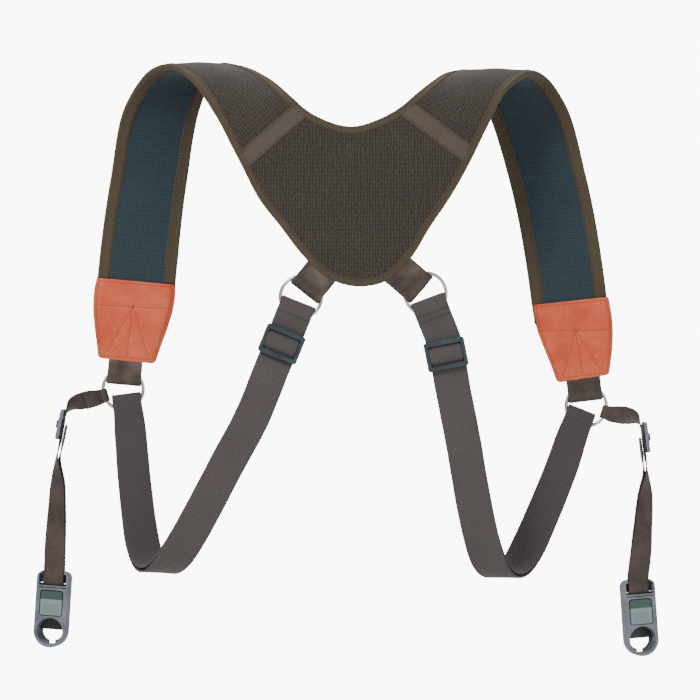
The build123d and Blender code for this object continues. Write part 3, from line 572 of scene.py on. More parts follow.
def waffle(name, dark, light, pitch):
    """Honeycomb of small staggered dimples, as on the inner side of the elastic."""
    shader = Shader(name)
    across, along = shader.weave()
    first = shader.wave(shader.math("ADD", across, along), pitch)
    second = shader.wave(shader.math("SUBTRACT", across, along), pitch)
    height = shader.math("POWER", shader.math("MULTIPLY", first, second), 0.6)
    colour = cloth_tones(shader, height, dark, light, 0.3)
    shader.bump(height, 0.0004, 0.8)
    return shader.done(colour, 0.85, sheen=0.2, specular=0.25)


def rows_mesh(name, dark, light, pitch=2.3, drop=1.5):
    """Mesh lining: level rows of small oval eyelets, each row staggered against the next."""
    shader = Shader(name)
    across, along = shader.weave()
    drift = shader.math("MULTIPLY", shader.noise(300.0, 2.0), 0.8)
    level = shader.math("ADD", along, drift)
    rows = shader.wave(level, drop)
    stagger = shader.math("MULTIPLY", shader.wave(level, 2 * drop), pitch / 2)
    eyelets = shader.wave(shader.math("ADD", across, stagger), pitch)
    height = shader.sum((rows, 0.6), (eyelets, 0.4))
    colour = cloth_tones(shader, height, dark, light, 0.3)
    shader.bump(height, 0.0004, 0.8)
    return shader.done(colour, 0.85, sheen=0.2, specular=0.25)


def twill(name, dark, light, pitch):
    """Narrow diagonal lines in zigzag columns."""
    shader = Shader(name)
    across, along = shader.weave()
    fold = shader.math("PINGPONG", across, 3.1)
    lines = shader.wave(shader.math("ADD", along, fold), pitch)
    threads = shader.wave(across, pitch * 0.8)
    height = shader.sum((lines, 0.7), (threads, 0.3))
    colour = cloth_tones(shader, height, dark, light)
    shader.bump(height, 0.0003, 0.7)
    return shader.done(colour, 0.8, sheen=0.15, specular=0.3)


def ribbed(name, dark, light):
    """Tape or webbing whose weft shows as close bars, with a soft shine."""
    shader = Shader(name)
    across, along = shader.weave()
    bars = shader.wave(along, 0.75)
    threads = shader.wave(across, 0.55)
    height = shader.sum((bars, 0.45), (threads, 0.55))
    colour = cloth_tones(shader, height, dark, light)
    shader.bump(height, 0.00028, 0.6)
    return shader.done(colour, 0.6, sheen=0.3, specular=0.4)


def satin(name, dark, light, shine):
    """Smooth webbing with long floats, which shows uneven streaks of shine: smoother there, and with a
    painted highlight colour mixed into the colour.
    """
    shader = Shader(name)
    across, along = shader.weave()
    threads = shader.wave(across, 0.62)
    bars = shader.wave(along, 1.3)
    height = shader.sum((threads, 0.7), (bars, 0.3))
    streaks = shader.ramp(shader.noise(70.0, 2.0, 0.5), 0.4, 0.75)
    colour = shader.mix(height, rgb(dark), rgb(light))
    # Painted highlight: along the streaks the colour is drawn towards the pale shine colour.
    colour = shader.mix(shader.math("MULTIPLY", streaks, 0.55), colour, rgb(shine))
    shader.bump(height, 0.00022, 0.55)
    roughness = shader.math("SUBTRACT", 0.56, shader.math("MULTIPLY", streaks, 0.14))
    return shader.done(colour, roughness, sheen=0.06, specular=0.45)


def leather_material(name, dark, middle, light):
    """Pebbled leather with a soft mottled tone."""
    shader = Shader(name)
    grain = shader.ramp(shader.cells(950.0), 0.05, 0.75)
    pores = shader.noise(1600.0, 4.0)
    slow = shader.ramp(shader.noise(60.0, 5.0, 0.6), 0.35, 0.68)
    height = shader.sum((grain, 0.7), (pores, 0.3))
    colour = shader.mix(slow, rgb(middle), rgb(light))
    colour = shader.mix(shader.math("MULTIPLY", grain, 0.28), colour, rgb(dark))
    shader.bump(height, 0.00025, 0.5)
    roughness = shader.math("ADD", 0.5, shader.math("MULTIPLY", slow, 0.12))
    return shader.done(colour, roughness, specular=0.4)


def moulded(name, dark, light, roughness=0.42, grain=0.00006):
    """Moulded plastic with a fine spark texture and faint tone changes."""
    shader = Shader(name)
    slow = shader.ramp(shader.noise(70.0, 3.0), 0.3, 0.7)
    fine = shader.noise(3200.0, 3.0)
    colour = shader.mix(slow, rgb(dark), rgb(light))
    shader.bump(fine, grain, 0.6)
    rough = shader.math("ADD", roughness, shader.math("MULTIPLY", fine, 0.12))
    return shader.done(colour, rough, specular=0.5)


def two_tone_button(name, part, side):
    """Moulded plastic whose upper third is dark green and whose lower pad is grey-green."""
    up = connector_axes(side)[1]
    line = Vector(np.array(CONNECTOR_PINS[side]) * MM - up * BUTTON_SPLIT * MM)
    to_part = part.matrix_world.inverted()
    edge = to_part @ line
    upward = (to_part @ (line + Vector(up)) - edge).normalized()
    shader = Shader(name)
    place = shader.nodes.new("ShaderNodeSeparateXYZ")
    shader.links.new(shader.place(), place.inputs[0])
    height = 0.0
    for axis in range(3):
        height = shader.math("ADD", shader.math("MULTIPLY", place.outputs[axis], upward[axis]), height)
    height = shader.math("SUBTRACT", height, edge.dot(upward))
    above = shader.ramp(height, -0.00015, 0.00015)
    fine = shader.noise(3200.0, 3.0)
    lower = shader.mix(fine, rgb("6B7B7C"), rgb("86979A"))
    upper = shader.mix(fine, rgb("2B4038"), rgb("3C564B"))
    shader.bump(fine, 0.00006, 0.6)
    return shader.done(shader.mix(above, lower, upper), 0.4, specular=0.5)


def polished_steel(name):
    """Bright wire with faint drawing marks."""
    shader = Shader(name)
    marks = shader.noise(700.0, 4.0, 0.7)
    colour = shader.mix(marks, rgb("B9B9B8"), rgb("DEDEDC"))
    shader.bump(marks, 0.00002, 0.4)
    rough = shader.math("ADD", 0.16, shader.math("MULTIPLY", marks, 0.14))
    return shader.done(colour, rough, metallic=1.0)


def thread(name, colour):
    """Sewing thread: a fine twist."""
    shader = Shader(name)
    twist = shader.noise(2600.0, 2.0)
    tone = shader.mix(twist, rgb(colour), tuple(value * 0.55 for value in rgb(colour)[:3]) + (1.0,))
    shader.bump(twist, 0.0001, 0.6)
    return shader.done(tone, 0.65, sheen=0.2)


outer_cloth = knit("outer_knit", "292420", "4E4640", pitch=2.1, drop=2.9)
lining_cloth = rows_mesh("lining_mesh", "1A242A", "3E4F58")
binding_cloth = twill("binding_twill", "362D22", "665843", pitch=1.1)
tape_cloth = ribbed("ribbed_tape", "3B3028", "6A5A4B")
elastic_cloth = twill("elastic_twill", "352E2E", "696060", pitch=1.6)
# The last colour of a satin is a painted highlight, mixed in along streaks.
satin_cloth = satin("satin_webbing", "231813", "3F2F26", "6E574F")
elastic_inside = waffle("elastic_inside", "3F393A", "5B5355", pitch=2.6)
# Its last colour is a painted highlight as well.
tether_cloth = satin("tether_webbing", "251C18", "44352F", "5C4842")
tether_cloth_plain = moulded("tether_webbing_plain", "4A3C35", "5E4C45", 0.7, 0.0002)
leather_skin = leather_material("tan_leather", "9C3018", "CE4F2C", "DF6A44")
foam_core = moulded("foam_core", "17181A", "222326", 0.9, 0.0003)
binding_thread = thread("binding_thread", "2A2119")
leather_thread = thread("leather_thread", "B5532F")
webbing_thread = thread("webbing_thread", "3A302A")
tether_thread = thread("tether_thread", "7A5F58")
steel = polished_steel("polished_steel")
slider_plastic = moulded("slider_plastic", "232E34", "33414A", 0.36)
small_slider_plastic = moulded("small_slider_plastic", "5A6170", "767D8D", 0.38)
connector_plastic = moulded("connector_plastic", "565B67", "7A7E8A", 0.4)
latch_plastic = moulded("latch_plastic", "221F22", "312D30", 0.4)


# =====================================================================================
# The padded yoke and shoulders
# =====================================================================================
STATIONS = len(SHOULDER_EDGES["left"])
OUT = (0.0, -1.0, 0.0)


def in_xz(points, y=MIDDLE_Y):
    """Points given as X and Z, put at one depth."""
    return [(x, y, z) for x, z in points]


def edge_points(side, which):
    """One edge of a shoulder's stations, from the yoke down."""
    return [edges[which] for edges in SHOULDER_EDGES[side]]


OUTER_LINE = np.array(
    edge_points("left", 0)[::-1]
    + in_xz(LEFT_SIDE[::-1][1:])
    + in_xz(FOOT[::-1][1:])
    + in_xz(RIGHT_SIDE[::-1][1:])
    + edge_points("right", 1)[1:]
)
NECK_LINE = np.array(edge_points("left", 1)[::-1] + in_xz(NECKLINE[1:]) + edge_points("right", 0)[1:])
FIRST_SEAM = STATIONS - 1
SECOND_SEAM_OUTER = len(OUTER_LINE) - STATIONS
SECOND_SEAM_NECK = len(NECK_LINE) - STATIONS


def on_line(line, places):
    """Points of a smooth line at fractional places along its list of points."""
    knots = chord_knots(line)
    return through(line, knots, np.interp(places, np.arange(len(line)), knots))


def shoulder_rows(side):
    """Matching points of a shoulder's two edges, the one nearer -X first, and its inner normals."""
    centres = np.mean(np.array(SHOULDER_EDGES[side]), axis=1)
    counts = np.maximum(np.round(np.linalg.norm(np.diff(centres, axis=0), axis=1) / STEP).astype(int), 2)
    places = [np.arange(count) / count + index for index, count in enumerate(counts)]
    places = np.concatenate(places + [[STATIONS - 1]])
    if side == "left":
        low_x = on_line(OUTER_LINE, FIRST_SEAM - places)
        high_x = on_line(NECK_LINE, FIRST_SEAM - places)
    else:
        low_x = on_line(NECK_LINE, SECOND_SEAM_NECK + places)
        high_x = on_line(OUTER_LINE, SECOND_SEAM_OUTER + places)
    along = np.gradient((low_x + high_x) / 2, axis=0)
    normal = unit(np.cross(along, high_x - low_x))
    return low_x, high_x, normal


def outer_height(depth):
    """How far the outer face stands from the pad's middle, by distance in from the edge."""
    return EDGE_HEIGHT + 0.9 * ease(depth / 8) + 1.2 * ease((depth - 3) / 26)


def lining_height(depth):
    """The same for the lining, which lies flatter."""
    return EDGE_HEIGHT + 0.8 * ease(depth / 7) + 0.5 * ease((depth - 5) / 24)


def ripple(points, size, amount):
    """Slow uneven swelling, as cloth over foam shows."""
    flat = points.reshape(-1, 3)
    lift = [noise.noise(Vector(point / size)) for point in flat]
    return amount * np.array(lift).reshape(points.shape[:-1])


def slab(name, high, low, weave, material):
    """A closed sheet between two grids of points."""
    rows, columns = high.shape[:2]
    count = rows * columns
    points = np.concatenate([high.reshape(-1, 3), low.reshape(-1, 3)])
    weave = np.concatenate([weave.reshape(-1, 2)] * 2)
    faces = []
    for row in range(rows - 1):
        for column in range(columns - 1):
            a = row * columns + column
            corners = (a, a + 1, a + columns + 1, a + columns)
            faces.append(corners)
            faces.append(tuple(count + corner for corner in reversed(corners)))
    rim = [column for column in range(columns)]
    rim += [row * columns + columns - 1 for row in range(1, rows)]
    rim += [(rows - 1) * columns + column for column in range(columns - 2, -1, -1)]
    rim += [row * columns for row in range(rows - 2, 0, -1)]
    for first, second in zip(rim, rim[1:] + rim[:1]):
        faces.append((second, first, count + first, count + second))
    return mesh_piece(name, points, faces, weave, material)


def spread(count, dense=0.35):
    """Places from 0 to 1, closer together at the two ends."""
    even = np.linspace(0, 1, count)
    return even - dense * np.sin(2 * np.pi * even) / (2 * np.pi)


def pad_layers(prefix, middle, out, depth, weave):
    """Outer fabric, foam and lining over a grid of middle points; out is the outer face's normal."""
    uneven = ripple(middle, *CLOTH_SWELL) * ease(depth / 6)
    high = outer_height(depth) + uneven
    low = lining_height(depth) - uneven * 0.6
    out_at = np.broadcast_to(out, middle.shape)

    def shifted(amount):
        return middle + out_at * np.asarray(amount)[..., None]

    outer = slab(prefix + "_outer_fabric_cloth", shifted(high), shifted(high - SKIN), weave, outer_cloth)
    add_to(outer, "harness", [prefix + "_outer_fabric"])
    lining = slab(prefix + "_lining_cloth", shifted(-low), shifted(SKIN - low), weave, lining_cloth)
    add_to(lining, "harness", [prefix + "_lining"])
    foam = slab(prefix + "_foam_core", shifted(high - SKIN), shifted(SKIN - low), weave, foam_core)
    add_to(foam, "harness", [prefix + "_foam"])


def build_shoulder_pad(side):
    """One shoulder, from its seam to under the leather."""
    low_x, high_x, normal = shoulder_rows(side)
    share = spread(36)
    middle = low_x[:, None] + (high_x - low_x)[:, None] * share[None, :, None]
    width = np.linalg.norm(high_x - low_x, axis=1)
    depth = np.minimum(share, 1 - share)[None] * width[:, None]
    distance = chord_knots((low_x + high_x) / 2)
    weave = np.stack([(share[None] - 0.5) * width[:, None], distance[:, None] + 0 * share[None]], axis=-1)
    out = np.broadcast_to(-normal[:, None], middle.shape)
    pad_layers(side + "_shoulder", middle, out, depth, weave)


def distance_to_line(points, line):
    """Shortest distance in X and Z from each point to a chain of points."""
    best = np.full(points.shape[:-1], 1e9)
    for start, stop in zip(line[:-1], line[1:]):
        run = stop - start
        share = np.clip(((points - start) @ run) / (run @ run), 0, 1)
        best = np.minimum(best, np.linalg.norm(points - start - share[..., None] * run, axis=-1))
    return best


def build_yoke_pad():
    """The yoke: a grid from the neckline and seams down to the sides and foot."""
    side_count, foot_count = 44, 60
    seam_share = spread(side_count, 0.0)
    outer_places = np.concatenate([
        FIRST_SEAM + 3 * seam_share,
        FIRST_SEAM + 3 + 4 * np.linspace(0, 1, foot_count)[1:-1],
        FIRST_SEAM + 7 + 3 * seam_share,
    ])
    bottom = on_line(OUTER_LINE, outer_places)
    neck = on_line(NECK_LINE, FIRST_SEAM + 4 * np.linspace(0, 1, foot_count))
    first_corner, second_corner = bottom[0], bottom[-1]
    first_seam = first_corner + (neck[0] - first_corner) * seam_share[:, None]
    second_seam = neck[-1] + (second_corner - neck[-1]) * seam_share[:, None]
    top = np.concatenate([first_seam, neck[1:-1], second_seam])
    share = spread(70, 0.3)
    middle = top[None] * (1 - share)[:, None, None] + bottom[None] * share[:, None, None]
    flat = middle[..., (0, 2)]
    pad_layers("yoke", middle, np.array(OUT), edge_depth(flat), flat.copy())


def line_frames(line, normals, facing, step=1.6):
    """A smooth line with its outward direction and the outer face's normal, row by row."""
    knots = chord_knots(line)
    count = int(knots[-1] / step) + 1
    at = np.linspace(0, knots[-1], count)
    points = through(line, knots, at)
    out = unit(through(normals, knots, at))
    along = unit(np.gradient(points, axis=0))
    away = unit(np.cross(out, along)) * facing
    keep = slice(*binding_span(points))
    return points[keep], away[keep], unit(np.cross(along, away))[keep] * facing, at[keep]


def binding_span(points):
    """First and last rows that stand above the leather caps."""
    rows = []
    for side, outward in (("left", -1), ("right", 1)):
        first, second = LEATHER_SIDES[side]
        share = (points[:, 0] - first[0][0]) / (second[0][0] - first[0][0])
        top = first[0][1] + (second[0][1] - first[0][1]) * np.clip(share, 0, 1)
        under = (points[:, 0] * outward > 60) & (points[:, 1] > 50) & (points[:, 2] < top - 1.5)
        rows.append(np.flatnonzero(under))
    return rows[0].max() + 1, rows[1].min()


def binding_section():
    """The folded tape's outline: distance out from the edge, and towards the outer face."""
    outside = []
    for inward in np.linspace(BINDING_FACE, 1.0, 9):
        crease = 0.16 * math.sin((BINDING_FACE - inward) / BINDING_FACE * 2 * math.pi)
        outside.append((-inward, outer_height(inward) + BINDING_PROUD + crease))
    outside[0] = (-BINDING_FACE, outer_height(BINDING_FACE) + BINDING_TUCK)
    rim = [(-0.3, 1.95), (0.2, 1.35), (0.5, 0.6), (0.55, -0.1), (0.45, -0.8), (0.1, -1.5), (-0.5, -2.0)]
    inside = []
    for inward in np.linspace(1.2, BINDING_LINING, 13):
        crease = 0.2 * math.sin(inward / BINDING_LINING * 4 * math.pi)
        crease -= 0.5 * math.exp(-(((inward - LINING_CREASE) / 0.5) ** 2))
        inside.append((-inward, -lining_height(inward) - BINDING_PROUD - crease))
    inside[-1] = (-BINDING_LINING, -lining_height(BINDING_LINING) - BINDING_TUCK)
    under = [
        (-BINDING_LINING + 0.2, -lining_height(BINDING_LINING) + 0.5),
        (-1.0, -1.0),
        (-0.6, 0.0),
        (-1.0, 1.0),
        (-BINDING_FACE + 0.2, outer_height(BINDING_FACE) - 0.5),
    ]
    return np.array(outside + rim + inside + under)


def build_binding(name, line, normals, facing, nodes):
    """Binding along one of the pad's two long edges, with a stitch row on each face."""
    points, away, out, at = line_frames(line, normals, facing)
    section = binding_section()
    uneven = ripple(points, *BINDING_SWELL)
    offsets = section[None, :, 1] + np.sign(section[None, :, 1]) * uneven[:, None]
    grid = points[:, None] + away[:, None] * section[None, :, 0, None] + out[:, None] * offsets[..., None]
    around = chord_knots(section)
    weave = np.stack(np.broadcast_arrays(around[None, :], at[:, None]), axis=-1)
    faces = tube_faces(len(points), len(section))
    piece = mesh_piece(name, grid.reshape(-1, 3), faces, weave.reshape(-1, 2), binding_cloth)
    add_to(piece, "harness", nodes)
    rows = []
    places = (
        (OUTER_STITCH_PLACE, outer_height(OUTER_STITCH_PLACE), 1),
        (LINING_STITCH_PLACE, lining_height(LINING_STITCH_PLACE), -1),
    )
    for inward, height, face in places:
        lift = (height + BINDING_PROUD + 0.1) * face
        row = points - away * inward + out * (lift + uneven * face)[:, None]
        rows.append((row, out * face))
    stitch_piece(name + "_stitches", rows, binding_thread, "harness", BINDING_STITCH)


def line_normals(line, first_seam, second_seam):
    """The outer face's normal at each point of one of the pad's long edge lines."""
    normals = np.tile(np.array(OUT), (len(line), 1))
    for side in SIDES:
        stations = np.array(SHOULDER_EDGES[side])
        centres = stations.mean(axis=1)
        along = np.gradient(centres, axis=0)
        out = unit(-np.cross(along, stations[:, 1] - stations[:, 0]))
        for station in range(2, STATIONS):
            place = first_seam - station if side == "left" else second_seam + station
            normals[place] = out[station]
    return normals


def edge_depth(flat):
    """Distance in from the yoke's real edges, for points given as X and Z."""
    outer = on_line(OUTER_LINE, np.linspace(FIRST_SEAM - 2, SECOND_SEAM_OUTER + 2, 120))[:, (0, 2)]
    neck = on_line(NECK_LINE, np.linspace(FIRST_SEAM - 2, SECOND_SEAM_NECK + 2, 120))[:, (0, 2)]
    return np.minimum(distance_to_line(flat, outer), distance_to_line(flat, neck))


def build_tape(side):
    """Ribbed tape over the seam between the yoke and a shoulder, its ends under the bindings."""
    low_x, high_x = (np.array(point) for point in SHOULDER_EDGES[side][0])
    run = unit(high_x - low_x)
    down = unit(np.cross(OUT, run))
    reach = np.linspace(0, np.linalg.norm(high_x - low_x) / 2 + 12, 160)
    across = np.linspace(-TAPE_WIDTH / 2, TAPE_WIDTH / 2, 81)
    base = (low_x + high_x) / 2 + down * across[:, None]
    ends = []
    for sense in (-1, 1):
        trial = base[:, None] + run * sense * reach[None, :, None]
        buried = edge_depth(trial[..., (0, 2)]) < TAPE_UNDER
        ends.append(sense * reach[np.argmax(buried, axis=1)])
    place = ends[0] + (ends[1] - ends[0]) * np.linspace(0, 1, 70)[:, None]
    middle = base[None] + run * place[..., None]
    depth = edge_depth(middle[..., (0, 2)])
    ribs = 0.26 * np.abs(np.sin(across * math.pi / RIB_PITCH)) + 0.1
    edge = np.minimum(TAPE_WIDTH / 2 - np.abs(across), 0.8) / 0.8
    uneven = ripple(middle, *CLOTH_SWELL) * ease(depth / 6)
    height = outer_height(depth) + uneven
    high = middle + np.array(OUT) * (height + 0.3 + ribs * (0.4 + 0.6 * edge))[..., None]
    low = middle + np.array(OUT) * (height - 0.4)[..., None]
    weave = np.stack(np.broadcast_arrays(across[None, :], place), axis=-1)
    tape = slab(side + "_seam_tape_ribbed", high, low, weave, tape_cloth)
    add_to(tape, "harness", [side + "_seam_tape"])
    rows = []
    for side_place in (-TAPE_WIDTH / 2 + 1.0, TAPE_WIDTH / 2 - 1.0):
        column = int(np.argmin(np.abs(across - side_place)))
        line = high[:, column] + np.array(OUT) * 0.08
        rows.append((line, np.tile(np.array(OUT), (len(line), 1))))
    stitch_piece(side + "_seam_tape_stitches", rows, webbing_thread, "harness", TAPE_STITCH)


# =====================================================================================
# Leather caps
# =====================================================================================
def leather_grid(side, facing):
    """A cap's face: a grid of points, with X and Z as its grain coordinates."""
    first, second = (np.array(in_xz(points, FRONT_Y)) for points in LEATHER_SIDES[side])
    rows = np.concatenate([np.linspace(0, 0.93, 62)[:-1], np.linspace(0.93, 1, 14)])
    low_x = on_line(first, rows * (len(first) - 1))
    high_x = on_line(second, rows * (len(second) - 1))
    share = [np.linspace(0, 0.1, 12)[:-1], np.linspace(0.1, 0.9, 44)[:-1], np.linspace(0.9, 1, 12)]
    share = np.concatenate(share)
    width = np.linalg.norm(high_x - low_x, axis=1)
    to_foot = chord_knots((low_x + high_x) / 2)
    to_foot = to_foot[-1] - to_foot
    into_corner = np.maximum(LEATHER_CORNER - to_foot, 0)
    rounding = LEATHER_CORNER - np.sqrt(np.maximum(LEATHER_CORNER**2 - into_corner**2, 0))
    inset = (rounding / width)[:, None]
    share_at = inset + share[None] * (1 - 2 * inset)
    points = low_x[:, None] + (high_x - low_x)[:, None] * share_at[..., None]
    side_depth = np.minimum(share_at - inset, 1 - inset - share_at) * width[:, None]
    foot_depth = np.broadcast_to(to_foot[:, None], side_depth.shape)
    plump = 0.42 + 0.58 * ease(foot_depth / 34)
    height = 1.25 + PILLOW * ease(side_depth / 4.5) * plump * ease((foot_depth + 2.5) / 6)
    height = height + ripple(points, 11.0, 0.28) * ease(side_depth / 4)
    for start, stop in leather_seams(side):
        gap = distance_to_line(points[..., (0, 2)], np.array([start, stop]))
        height = height - SEAM_DEPTH * np.exp(-((gap / SEAM_WIDTH) ** 2))
    points = points + np.array((0, facing, 0)) * height[..., None]
    return points, points[..., (0, 2)].copy()


def leather_place(side, across, down):
    """X and Z of a place on a cap: share of the way across, and share of the way down."""
    first, second = (np.array(in_xz(points, FRONT_Y)) for points in LEATHER_SIDES[side])
    low_x = on_line(first, np.array([down * (len(first) - 1)]))[0]
    high_x = on_line(second, np.array([down * (len(second) - 1)]))[0]
    point = low_x + (high_x - low_x) * across
    return np.array((point[0], point[2]))


def leather_seams(side):
    """The sewn lines inside a cap: one across, and three fanning from its middle."""
    place = lambda across, down: leather_place(side, across, down)
    return [
        (place(0.05, 0.4), place(0.95, 0.4)),
        (place(0.5, 0.4), place(0.14, 0.94)),
        (place(0.5, 0.4), place(0.86, 0.94)),
        (place(0.5, 0.4), place(0.5, 0.94)),
    ]


def leather_rows(side, grid, facing):
    """Stitch rows of a cap, laid on its surface."""
    flat = grid.reshape(-1, 3)
    lines = list(leather_seams(side))
    place = lambda across, down: leather_place(side, across, down)
    lines.append((place(0.05, 0.045), place(0.95, 0.045)))
    lines.append((place(0.08, 0.955), place(0.92, 0.955)))
    for across in (0.045, 0.955):
        stops = [place(across, down) for down in np.linspace(0.045, 0.955, 9)]
        lines.extend(zip(stops[:-1], stops[1:]))
    rows = []
    for start, stop in lines:
        count = max(int(np.linalg.norm(stop - start)), 2)
        spots = start + (stop - start) * np.linspace(0, 1, count)[:, None]
        near = [flat[np.argmin(np.sum((flat[:, (0, 2)] - spot) ** 2, axis=1)), 1] for spot in spots]
        line = np.column_stack([spots[:, 0], np.array(near) + facing * 0.05, spots[:, 1]])
        rows.append((line, np.tile(np.array((0.0, facing, 0.0)), (count, 1))))
    return rows


def build_leather(side):
    """The two leather faces that close a shoulder's end."""
    for name, facing in (("leather_inner", -1.0), ("leather_outer", 1.0)):
        grid, grain = leather_grid(side, facing)
        under = grid - np.array((0, facing * LEATHER, 0))
        cap = slab(side + "_" + name + "_cap", grid, under, grain, leather_skin)
        add_to(cap, "harness", [side + "_" + name])
        rows = leather_rows(side, grid, facing)
        label = side + "_" + name + "_stitches"
        stitch_piece(label, rows, leather_thread, "harness", LEATHER_STITCH)


# =====================================================================================
# Webbing
# =====================================================================================
def placed(centre, y, direction, places, front):
    """Points at distances along a direction from a centre, and towards the front."""
    base = np.array((centre[0], y, centre[1]))
    run = np.array((direction[0], 0, direction[1]))
    return [base + run * along + np.array((0, front * lift, 0)) for along, lift in places]


def fold(half):
    """The turn of a strap inside a ring: distance from the ring's centre, and lift."""
    centre = FOLD_START + half + 0.5
    angles = np.linspace(-90, 90, 7) * math.pi / 180
    return [(centre - half * math.cos(angle), half * math.sin(angle)) for angle in angles]


def loop_route(ring, y, direction, end, close):
    """A satin loop: one ply up, round the wire and the other ply back."""
    plies = [(end, 0.6), (close + 4, 0.6), (close, 0.75), (close - 4, 1.75)]
    plies += [(RING_RADIUS, FOLD_HALF + 0.05), (9, FOLD_HALF)]
    back = [(along, -lift) for along, lift in plies]
    places = back + fold(FOLD_HALF) + plies[::-1]
    points = placed(ring, y, direction, places, -1)
    across = np.tile(np.array((direction[1], 0, -direction[0])), (len(points), 1))
    return Route(points, across, SATIN_WIDTH, 0.8)


def build_loop(side, name, ring, y, direction):
    """A satin loop, a little wrinkled across."""
    route = loop_route(ring, y, direction, LOOP_END, LOOP_CLOSE[name])
    loop = strap_mesh(side + "_" + name + "_webbing", route, SATIN, satin_cloth, columns=24)
    crumple(loop, *LOOP_CRUMPLE)
    add_to(loop, "harness", [side + "_" + name])


def crumple(piece, size, amount):
    """Move a cloth piece's points along their normals by soft noise."""
    for vertex in piece.data.vertices:
        place = Vector(vertex.co) / (size * MM)
        vertex.co = vertex.co + vertex.normal * (noise.noise(place) * amount * MM)
    piece.data.update()


def elastic_route(side):
    """The elastic strap: sewn ply, yoke ring, down and round to the front ring, and back to the slider."""
    stations = LOWER_STRAPS[side]
    half = 1.4 + ELASTIC / 2
    down = STRAP_DOWN[side]
    first_across = np.array(stations[0][1])
    places = [(21.3, -1.7), (19.4, -1.85), (17.5, -half), (RING_RADIUS, -half - 0.05), (9, -half)]
    places += fold(half) + [(9, half), (RING_RADIUS, half + 0.05), (18, 1.3)]
    points = placed(YOKE_RINGS[side], MIDDLE_Y, down, places, -1)
    across = [first_across] * len(points)
    widths = [ELASTIC_WIDTH] * len(points)
    for index, (centre, direction) in enumerate(stations):
        points.append(np.array(centre, float))
        across.append(np.array(direction, float))
        widths.append(ELASTIC_WIDTH)
        if index < 2 and np.linalg.norm(np.subtract(stations[index + 1][0], centre)) > 40:
            points.append(np.array(centre) * 0.5 + np.array(stations[index + 1][0]) * 0.5)
            across.append(np.array(direction) * 0.5 + np.array(stations[index + 1][1]) * 0.5)
            widths.append(ELASTIC_WIDTH)
    widths[-3:] = [24.8, 24.2, 23.4]
    eye = FRONT_EYE_DIRECTION[side]
    eye_across = np.array((-eye[1], 0, eye[0]))
    shift = eye_across * ELASTIC_EYE_SHIFT[side]
    rise = [(24, 0.9), (19, 1.7), (RING_RADIUS, half + 0.05), (9, half)]
    turn = fold(half)[::-1]
    drop = [(along, -lift) for along, lift in rise[::-1]]
    places = rise + turn + drop
    eye_points = placed(FRONT_RINGS[side], FRONT_Y, eye, places, 1)
    points += [point + shift for point in eye_points]
    across += [eye_across] * len(eye_points)
    ring_widths = [22.2, 21.6] + [ELASTIC_EYE_WIDTH] * (len(eye_points) - 4) + [21.6, 22.2]
    widths += ring_widths
    outward = Route(points, across, widths, 1.5, 60)
    slider = np.array((SLIDER_CENTRES[side][0], MIDDLE_Y, SLIDER_CENTRES[side][1]))
    begin = int(np.argmin(np.linalg.norm(outward.points - slider, axis=1))) + 3
    finish = int(np.argmin(np.linalg.norm(outward.points - eye_points[0] - shift, axis=1))) - 3
    back = outward.offset(0, -PLY_STEP)[begin:finish][::-1][::3]
    points += list(back)
    across += list(outward.across[begin:finish][::-1][::3])
    widths += list(outward.width[begin:finish][::-1][::3])
    return Route(points, across, widths, 1.5, 30)


def front_fold(side):
    """Where the elastic strap turns inside the front ring."""
    eye = FRONT_EYE_DIRECTION[side]
    places = [(FOLD_START + 0.5, 0.0)]
    return placed(FRONT_RINGS[side], FRONT_Y, eye, places, 1)[0]


def build_elastic(side):
    """The elastic strap with its two rows of stitching by the yoke ring."""
    route = elastic_route(side)
    strap = strap_mesh(side + "_elastic_strap", route, ELASTIC, elastic_cloth)
    strap.data.materials.append(elastic_inside)
    section = len(strap_section(STRAP_COLUMNS))
    turn = int(np.argmin(np.linalg.norm(route.points - front_fold(side), axis=1)))
    for index in range((len(route.points) - 1) * section):
        row, column = divmod(index, section)
        inner_side = column >= section // 2
        strap.data.polygons[index].material_index = int(inner_side == (row < turn))
    crumple(strap, *ELASTIC_CRUMPLE)
    add_to(strap, "harness", [side + "_lower_strap", side + "_lower_strap_return"])
    ring = np.array((YOKE_RINGS[side][0], MIDDLE_Y, YOKE_RINGS[side][1]))
    down = np.array((STRAP_DOWN[side][0], 0, STRAP_DOWN[side][1]))
    across = np.array(LOWER_STRAPS[side][0][1])
    rows = []
    front_rows = np.flatnonzero(route.points[:, 1] < MIDDLE_Y - 0.5)
    reach = (route.points[front_rows] - ring) @ down
    for distance in SEWN_ROWS[side]:
        row = front_rows[int(np.argmin(np.abs(reach - distance)))]
        start = route.points[row] + np.array(OUT) * (ELASTIC / 2 + 0.15)
        line = start + across * np.linspace(-11.5, 11.5, 24)[:, None]
        rows.append((line, np.tile(np.array(OUT), (24, 1))))
    stitch_piece(side + "_elastic_stitches", rows, webbing_thread, "harness", ELASTIC_STITCH)


def build_slider_bight(side):
    """The strap's turn over the slider's middle bar."""
    down = np.array((SLIDE_DOWN[side][0], 0, SLIDE_DOWN[side][1]))
    across = np.array((-down[2], 0, down[0]))
    centre = np.array((SLIDER_CENTRES[side][0], MIDDLE_Y, SLIDER_CENTRES[side][1]))
    leg = [(7.0, 1.55), (5.6, 2.3), (3.8, 4.1), (2.0, 4.95)]
    shape = [(-along, lift) for along, lift in leg] + [(0, 5.15)] + leg[::-1]
    points = [centre + down * along + np.array(OUT) * lift for along, lift in shape]
    route = Route(points, [across] * len(points), BIGHT_WIDTH, 0.7)
    bight = strap_mesh(side + "_slider_bight_webbing", route, ELASTIC - 0.2, elastic_cloth)
    add_to(bight, side + "_slider", [side + "_slider_bight"])


